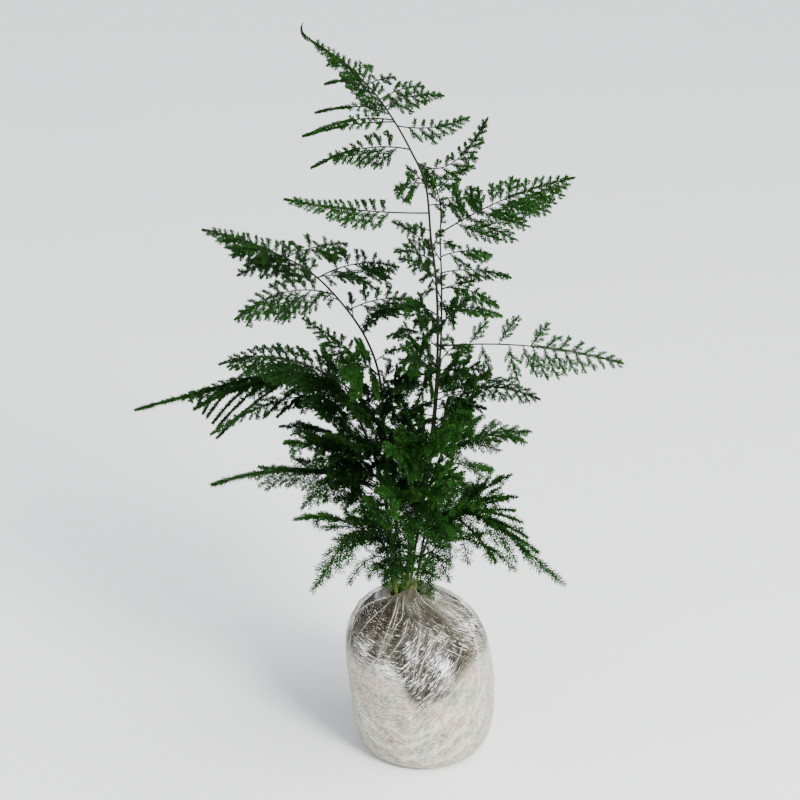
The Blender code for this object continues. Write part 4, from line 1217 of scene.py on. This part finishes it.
def film_material(settings):
    """Clear stretch film: see-through over the soil, milky in its layers, white on folds; painted
    highlights, glare and shade.
    """
    material, tree, shader = shader_tree("clear_film")
    haze, fold, band, crinkle, glare, slope, tan = (
        attribute_node(tree, name)
        for name in ("haze", "fold", "band", "crinkle", "glare", "slope", "tan"))
    layers = add_node(tree, "ShaderNodeUVMap", uv_map="film").outputs["UV"]
    cloud = noise_value(tree, layers, Scale=1.6, Detail=5.0, Roughness=0.65)
    streak = noise_value(tree, drawn_out(tree, layers, 28.0, 4.0), Scale=11.0, Detail=4.0,
                         Roughness=0.75)
    tint = noise_value(tree, layers, Scale=0.45, Detail=2.0, Distortion=0.6)
    patchy = minus(tree, cloud, 0.5)
    facet = film_facets(tree, layers, plus(tree, slope, times(tree, patchy, 3.2)))
    # Painted glints: the highest facets of the ripples turn white, more of them in crinkled film
    # and in the glare
    share = plus(tree, weighted(tree, (crinkle, 0.10), (glare, 0.22)), 0.20)
    share = plus(tree, share, times(tree, patchy, 0.4))
    glint = times(tree, minus(tree, facet, minus(tree, 1.0, share)), 5.5, clamp=True)
    glint = times(tree, glint, plus(tree, 0.10, times(tree, crinkle, 0.85)))
    # Painted shade in the cracks between crinkles: the lowest facets turn dark, and the film thins
    # there over the peat
    dark = times(tree, minus(tree, 0.47, facet), 8.0, clamp=True)
    mottle = stretched(tree, weighted(tree, (cloud, 0.35), (streak, 0.65)), 0.37, 3.8)
    cool, warm = ([c * k for c, k in zip(settings.milk, change)]
                  for change in ((0.88, 1.0, 0.92), (1.10, 0.97, 0.93)))
    milk = mixed(tree, stretched(tree, tint, 0.36, 3.6), cool, warm)
    base = mixed(tree, mottle, (0.36, 0.36, 0.36), (2.05, 2.05, 2.05))
    base = mixed(tree, 1.0, base, milk, "MULTIPLY")
    milk_share = arith(tree, "POWER", arith(tree, "MAXIMUM", haze, 0.0), 1.9)
    base = mixed(tree, milk_share, (0.034, 0.031, 0.012), base)
    golden = stretched(tree, band, 0.58, 2.2)
    base = mixed(tree, times(tree, golden, 0.40), base, (0.52, 0.41, 0.26))
    # Painted glare: the film turns silvery white where the glare mask is high, and it also grows
    # more opaque and glints more there
    base = mixed(tree, times(tree, glare, 0.45), base, (0.80, 0.81, 0.86))
    brown = times(tree, tan, 0.80, clamp=True)
    base = mixed(tree, brown, base, (0.046, 0.040, 0.015))
    # Painted shade in the hollows of the neck: near black where tan passes 1
    hollow_shade = minus(tree, tan, 1.0, clamp=True)
    base = mixed(tree, hollow_shade, base, (0.012, 0.009, 0.004))
    # Painted shade in the crinkles' cracks
    base = mixed(tree, times(tree, dark, crinkle), base, (0.012, 0.010, 0.007))
    # Painted highlights: folds and glints turn white; the folds' white is partly thicker film and
    # partly painted highlight
    line = arith(tree, "MAXIMUM", fold, glint, clamp=True)
    line = times(tree, line, minus(tree, 1.0, times(tree, brown, 0.6)))
    pale = plus(tree, glare, haze, clamp=True)
    white = mixed(tree, pale, (0.74, 0.71, 0.58), (0.97, 0.96, 0.94))
    base = mixed(tree, line, base, white)
    veil = plus(tree, 0.09, times(tree, haze, 0.85))
    for value, weight in ((glare, 0.30), (brown, 0.45)):
        veil = plus(tree, veil, times(tree, value, weight))
    # Where the cracks get painted shade, the film also grows thinner
    thin = times(tree, dark, times(tree, crinkle, 0.8))
    veil = times(tree, veil, minus(tree, 1.0, thin))
    height = plus(tree, times(tree, facet, crinkle), cloud)
    bump = add_node(tree, "ShaderNodeBump", Strength=0.7, Distance=0.0004, Height=height)
    feed(tree, shader, {
        "Base Color": base, "Alpha": plus(tree, veil, times(tree, line, 0.85), clamp=True),
        "Roughness": plus(tree, 0.12, times(tree, haze, 0.30)), "Normal": bump.outputs["Normal"],
        "IOR": 1.45, "Specular IOR Level": 0.3, "Coat Weight": 0.1, "Coat Roughness": 0.1})
    return material


def fold_material():
    """Sharp folds of the film: white where they catch the light, broken by clear stretches."""
    material, tree, shader = shader_tree("film_folds")
    value, _ = speckle(tree, 260.0, 0.0001)
    catch = stretched(tree, value, 0.38, 5.0)
    feed(tree, shader, {"Base Color": mixed(tree, catch, (0.40, 0.37, 0.28), (0.95, 0.93, 0.86)),
                        "Alpha": plus(tree, 0.25, times(tree, catch, 0.65)), "Roughness": 0.25})
    return material


class FERN_OT_grow_sprays(bpy.types.Operator):
    """Grow stems, ribs, twigs and needles on the skeleton of each leafy stem"""
    bl_idname = "lace_fern.grow_sprays"
    bl_label = "Grow Sprays"

    def execute(self, context):
        settings = context.scene.lace_fern_foliage
        rng = np.random.default_rng(settings.seed)
        needles, wood = needle_material(settings), wood_material()
        for name, (thick, thin, _) in STEMS.items():
            line = stem_line(name)
            ribs = stem_ribs(name, line, rng)
            twigs = grow_twigs(ribs, settings, rng)
            twiglets = grow_twiglets(twigs, rng)
            self.add_wood(name, line, (thick, thin), ribs, twigs, twiglets, wood)
            self.add_needles(name, ribs, twigs, twiglets, settings, needles, rng)
        return {"FINISHED"}

    @staticmethod
    def add_wood(name, line, radii, ribs, twigs, twiglets, material):
        """The stem, its ribs and its twigs as one piece."""
        share = path_lengths(line) / path_lengths(line)[-1]
        parts = [tube_arrays(line, radii[0] + (radii[1] - radii[0]) * share ** 1.7, 10)]
        for rib in ribs[1:]:
            places = rib["line"][::2]
            thick = 0.34 + 0.0018 * path_lengths(places)[-1]
            parts.append(tube_arrays(places, np.linspace(thick, 0.24, len(places)), 5))
        bare = sum(len(part[0]) for part in parts)
        parts.append(twig_arrays(twigs, 0.38, 0.24, 3))
        if len(twiglets["root"]):
            tip = twiglets["root"] + twiglets["first"] + twiglets["second"]
            parts.append(spike_arrays(twiglets["root"], tip, 0.7))
        verts, faces = stacked(parts)
        young = smooth_step(128.0, 100.0, verts[:, 2])
        mesh_piece(name + "_wood", verts, faces, material, (name,),
                   {"young": young, "green": np.arange(len(verts)) >= bare})

    @staticmethod
    def add_needles(name, ribs, twigs, twiglets, settings, material, rng):
        """All needles of the stem as one piece."""
        grown = [grow_needles(twigs, settings, 0.06, rng),
                 grow_needles(twiglets, settings, 0.10, rng),
                 grow_needles(rod_axes(ribs, settings), settings, 0.0, rng)]
        foot, tip, side, width, fresh = (np.concatenate([g[k] for g in grown]) for k in range(5))
        verts, faces = blade_arrays(foot, tip, side, width)
        # point: 0 at a needle's foot, 1 at its tip, 0.4 at its sides; it carries the painted
        # highlight of the tips
        point = np.tile([0.0, 1.0, 0.4, 0.4], len(foot))
        mesh_piece(name + "_needles", verts, faces, material, (name,),
                   {"fresh": np.repeat(fresh, 4), "point": point}, smooth=False)


class FERN_OT_pack_soil(bpy.types.Operator):
    """Pack the lumpy soil ball inside the film"""
    bl_idname = "lace_fern.pack_soil"
    bl_label = "Pack Soil"

    def execute(self, context):
        settings = context.scene.lace_fern_ball
        columns = 130
        s = np.concatenate([np.linspace(0.12, 10.0, 50), np.linspace(10.1, 10.6, 4)])
        s, angle = np.meshgrid(s, np.linspace(0, 2 * math.pi, columns, endpoint=False),
                               indexing="ij")
        fan = angle / (2 * math.pi)
        lumps = lattice_noise(fan * 40, s * 3.0, 51, 40)
        lumps += 0.5 * lattice_noise(fan * 110, s * 8.0, 52, 110)
        points = ball_points(s, angle, -1.5 - 1.1 * lumps)
        points[..., 2] = np.clip(points[..., 2], 1.3, None)
        flat = smooth_step(9.6, 10.6, s)
        points[..., 2] = points[..., 2] * (1 - flat) + (SOIL_TOP - 1.4 + 1.2 * lumps) * flat
        inner = np.array([[1.0, 0.0, 1.3], [-9.0, 2.0, SOIL_TOP - 0.3]])
        verts = np.vstack([points.reshape(-1, 3), inner])
        mesh_piece("peat_ball", verts, lathe_faces(len(s), columns), peat_material(settings),
                   ("root_ball",))
        return {"FINISHED"}


def film_rows():
    """The film's rows, up its outer wall, down into the neck, and back down its inner wall.

    For each row: its ring number, how far it dives into the neck from 0 to 1, and how far in
    mm it lies inside the outer wall.
    """
    outer = np.concatenate([[0.02, 0.3, 0.6], np.linspace(0.85, 12.0, 122)])
    collar = np.linspace(0.12, 1.0, 8)
    inner = np.linspace(11.6, 0.1, 12)
    s = np.concatenate([outer, np.full(2 * len(collar), 12.0), inner])
    dive = np.concatenate([np.zeros(len(outer)), collar, collar[::-1], np.zeros(len(inner))])
    wall = np.repeat([0.0, 0.4], [len(outer) + len(collar), len(collar) + len(inner)])
    return s, dive, wall


class FERN_OT_wrap_film(bpy.types.Operator):
    """Wrap the creased, pleated film round the soil ball"""
    bl_idname = "lace_fern.wrap_film"
    bl_label = "Wrap Film"

    def execute(self, context):
        settings = context.scene.lace_fern_ball
        columns = settings.columns
        s, dive, wall = film_rows()
        s, angle = np.meshgrid(s, np.linspace(-math.pi, math.pi, columns, endpoint=False),
                               indexing="ij")
        dive, wall = dive[:, None], wall[:, None] * np.ones_like(s)
        rng = np.random.default_rng(CREASE_SEED)
        relief, masks = film_fields(s, angle, ball_points(s, angle, 0.0), rng)
        follow = np.where(wall > 0, smooth_step(9.5, 11.5, s), 1.0)
        edge = smooth_step(0.3, 1.6, s)
        gather = 0.5 * np.sin(angle * 17 + 1.2 * np.sin(angle * 3)) * smooth_step(10.4, 11.8, s)
        outwards = relief * edge * follow + gather * follow - np.where(dive > 0, 0.0, wall)
        outwards = outwards - 3.4 * dive ** 0.8 + 0.4 * np.sin(angle * 23) * dive
        drop = tent_rise(s, angle) - 4.2 * dive ** 1.4 - np.where(dive > 0, wall, 0.0)
        points = ball_points(s, angle, outwards, drop)
        points[..., 2] = np.maximum(points[..., 2], np.where(wall > 0, 0.5, 0.0))
        poles = np.array([[1.0, 0.0, 0.0], [1.0, 0.0, 0.5]])
        verts = np.vstack([points.reshape(-1, 3), poles])
        hidden = {"haze": -0.15, "fold": 0.0, "crinkle": 0.0, "glare": 0.0, "tan": 0.0}
        floats = {}
        for name, mask in masks.items():
            shown = np.where(wall > 0, hidden.get(name, 0.5), mask)
            floats[name] = np.append(shown.ravel(), [0.5, 0.5])
        film = mesh_piece("film_skin", verts, lathe_faces(len(s), columns),
                          film_material(settings), ("film_wrap",), floats)
        self.add_uv(film, s, columns)
        self.add_folds(np.random.default_rng(CREASE_SEED))
        return {"FINISHED"}

    @staticmethod
    def add_folds(rng):
        """The sharp folds on the creases: thin tapered rods half sunk in the film."""
        parts = []
        for route, wide, shine in all_creases(rng):
            line = crease_line(route, 0.25 + 0.40 * shine)
            share = np.linspace(0.0, 1.0, len(line))
            radii = 0.50 * wide * (0.25 + 0.75 * np.sin(math.pi * share ** 0.8))
            radii = radii * (0.5 + 0.5 * shine)
            parts.append(tube_arrays(line, radii, 4))
        verts, faces = stacked(parts)
        mesh_piece("film_folds", verts, faces, fold_material(), ("film_wrap",))

    @staticmethod
    def add_uv(film, s, columns):
        """A UV map in centimetres: round the ball, and down its side."""
        turn = np.tile(np.arange(columns) / columns * FILM_ROUND, len(s))
        fall = np.repeat(s[:, 0] * FILM_STEP, columns)
        uv = np.column_stack([np.append(turn, [0, 0]), np.append(fall, [0, 0])])
        loops = np.zeros(len(film.data.loops), dtype=np.int32)
        film.data.loops.foreach_get("vertex_index", loops)
        corner = uv[loops].reshape(-1, 3, 2)
        across, half = corner[..., 0], 13.0
        wraps = np.ptp(across, axis=1) > half
        across[wraps[:, None] & (across < half)] += FILM_ROUND
        layer = film.data.uv_layers.new(name="film")
        layer.data.foreach_set("uv", corner.astype(np.float32).ravel())


class FERN_OT_set_stage(bpy.types.Operator):
    """Set the camera, the soft light and the pale floor"""
    bl_idname = "lace_fern.set_stage"
    bl_label = "Set Stage"

    def execute(self, context):
        settings = context.scene.lace_fern_stage
        target = Vector(TARGET) * MM
        back = Vector((0.0, -math.cos(settings.elevation), math.sin(settings.elevation)))
        camera = bpy.data.objects.new("camera", bpy.data.cameras.new("camera"))
        camera.location = target + back * settings.distance
        camera.rotation_euler = (math.pi / 2.0 - settings.elevation, 0.0, 0.0)
        camera.data.lens = LENS
        camera.data.sensor_width = 36.0
        context.scene.collection.objects.link(camera)
        context.scene.camera = camera
        self.add_floor(context, settings)
        self.add_light("key", (0.80, -1.00, 0.95), 0.40, settings.key_power, (1.0, 0.99, 0.97))
        self.add_light("fill", (-0.9, -0.9, 0.8), 1.0, settings.key_power * 0.12, (0.95, 0.98, 1.0))
        sky = bpy.data.lights.new("overhead", "SUN")
        sky.energy = settings.overhead
        sky.angle = math.radians(55.0)
        lamp = bpy.data.objects.new("overhead", sky)
        lamp.rotation_euler = Vector((-0.55, 0.25, -1.0)).to_track_quat("-Z", "Y").to_euler()
        context.scene.collection.objects.link(lamp)
        world = bpy.data.worlds.new("studio")
        world.use_nodes = True
        background = world.node_tree.nodes["Background"]
        feed(world.node_tree, background, {"Color": (0.93, 0.96, 1.0, 1.0), "Strength": 0.85})
        context.scene.world = world
        return {"FINISHED"}

    @staticmethod
    def add_floor(context, settings):
        """A flat floor just under height 0, so wide that its edge stays out of the pictures."""
        half, low = FLOOR_HALF, -0.0004
        corners = [(-half, -half, low), (half, -half, low), (half, half, low), (-half, half, low)]
        mesh = bpy.data.meshes.new("floor")
        mesh.from_pydata(corners, [], [(0, 1, 2, 3)])
        material, tree, shader = shader_tree("pale_floor")
        value, _ = speckle(tree, 1.4, 0.001)
        darker = [0.94 * c for c in settings.floor_colour]
        tone = mixed(tree, value, darker, settings.floor_colour)
        feed(tree, shader, {"Base Color": tone, "Roughness": 0.8})
        mesh.materials.append(material)
        floor = bpy.data.objects.new("floor", mesh)
        context.scene.collection.objects.link(floor)

    @staticmethod
    def add_light(name, place, size, power, colour):
        """A square soft light aimed at the middle of the plant."""
        light = bpy.data.lights.new(name, "AREA")
        light.shape = "SQUARE"
        light.size = size
        light.energy = power
        light.color = colour
        obj = bpy.data.objects.new(name, light)
        obj.location = place
        aim = Vector((0.0, 0.0, 0.18)) - obj.location
        obj.rotation_euler = aim.to_track_quat("-Z", "Y").to_euler()
        bpy.context.scene.collection.objects.link(obj)


class FERN_PT_panel(bpy.types.Panel):
    """Lists the steps that dress the fern"""
    bl_label = "Lace Fern"
    bl_idname = "FERN_PT_panel"
    bl_space_type = "VIEW_3D"
    bl_region_type = "UI"
    bl_category = "Lace Fern"

    def draw(self, context):
        for group in ("lace_fern_foliage", "lace_fern_ball", "lace_fern_stage"):
            settings = getattr(context.scene, group)
            box = self.layout.box()
            for name in settings.__annotations__:
                box.prop(settings, name)
        for step in STEPS:
            self.layout.operator(step.bl_idname)


STEPS = (FERN_OT_set_stage, FERN_OT_pack_soil, FERN_OT_wrap_film, FERN_OT_grow_sprays)
CLASSES = (FoliageSettings, BallSettings, StageSettings, *STEPS, FERN_PT_panel)


def register():
    """Add the settings, the operators and the panel."""
    for item in CLASSES:
        bpy.utils.register_class(item)
    bpy.types.Scene.lace_fern_foliage = PointerProperty(type=FoliageSettings)
    bpy.types.Scene.lace_fern_ball = PointerProperty(type=BallSettings)
    bpy.types.Scene.lace_fern_stage = PointerProperty(type=StageSettings)


def unregister():
    """Take them out again."""
    del bpy.types.Scene.lace_fern_foliage
    del bpy.types.Scene.lace_fern_ball
    del bpy.types.Scene.lace_fern_stage
    for item in reversed(CLASSES):
        bpy.utils.unregister_class(item)


def main():
    """Dress the fern, one operator after the other."""
    register()
    bpy.ops.lace_fern.set_stage()
    bpy.ops.lace_fern.pack_soil()
    bpy.ops.lace_fern.wrap_film()
    bpy.ops.lace_fern.grow_sprays()


if __name__ == "__main__":
    main()
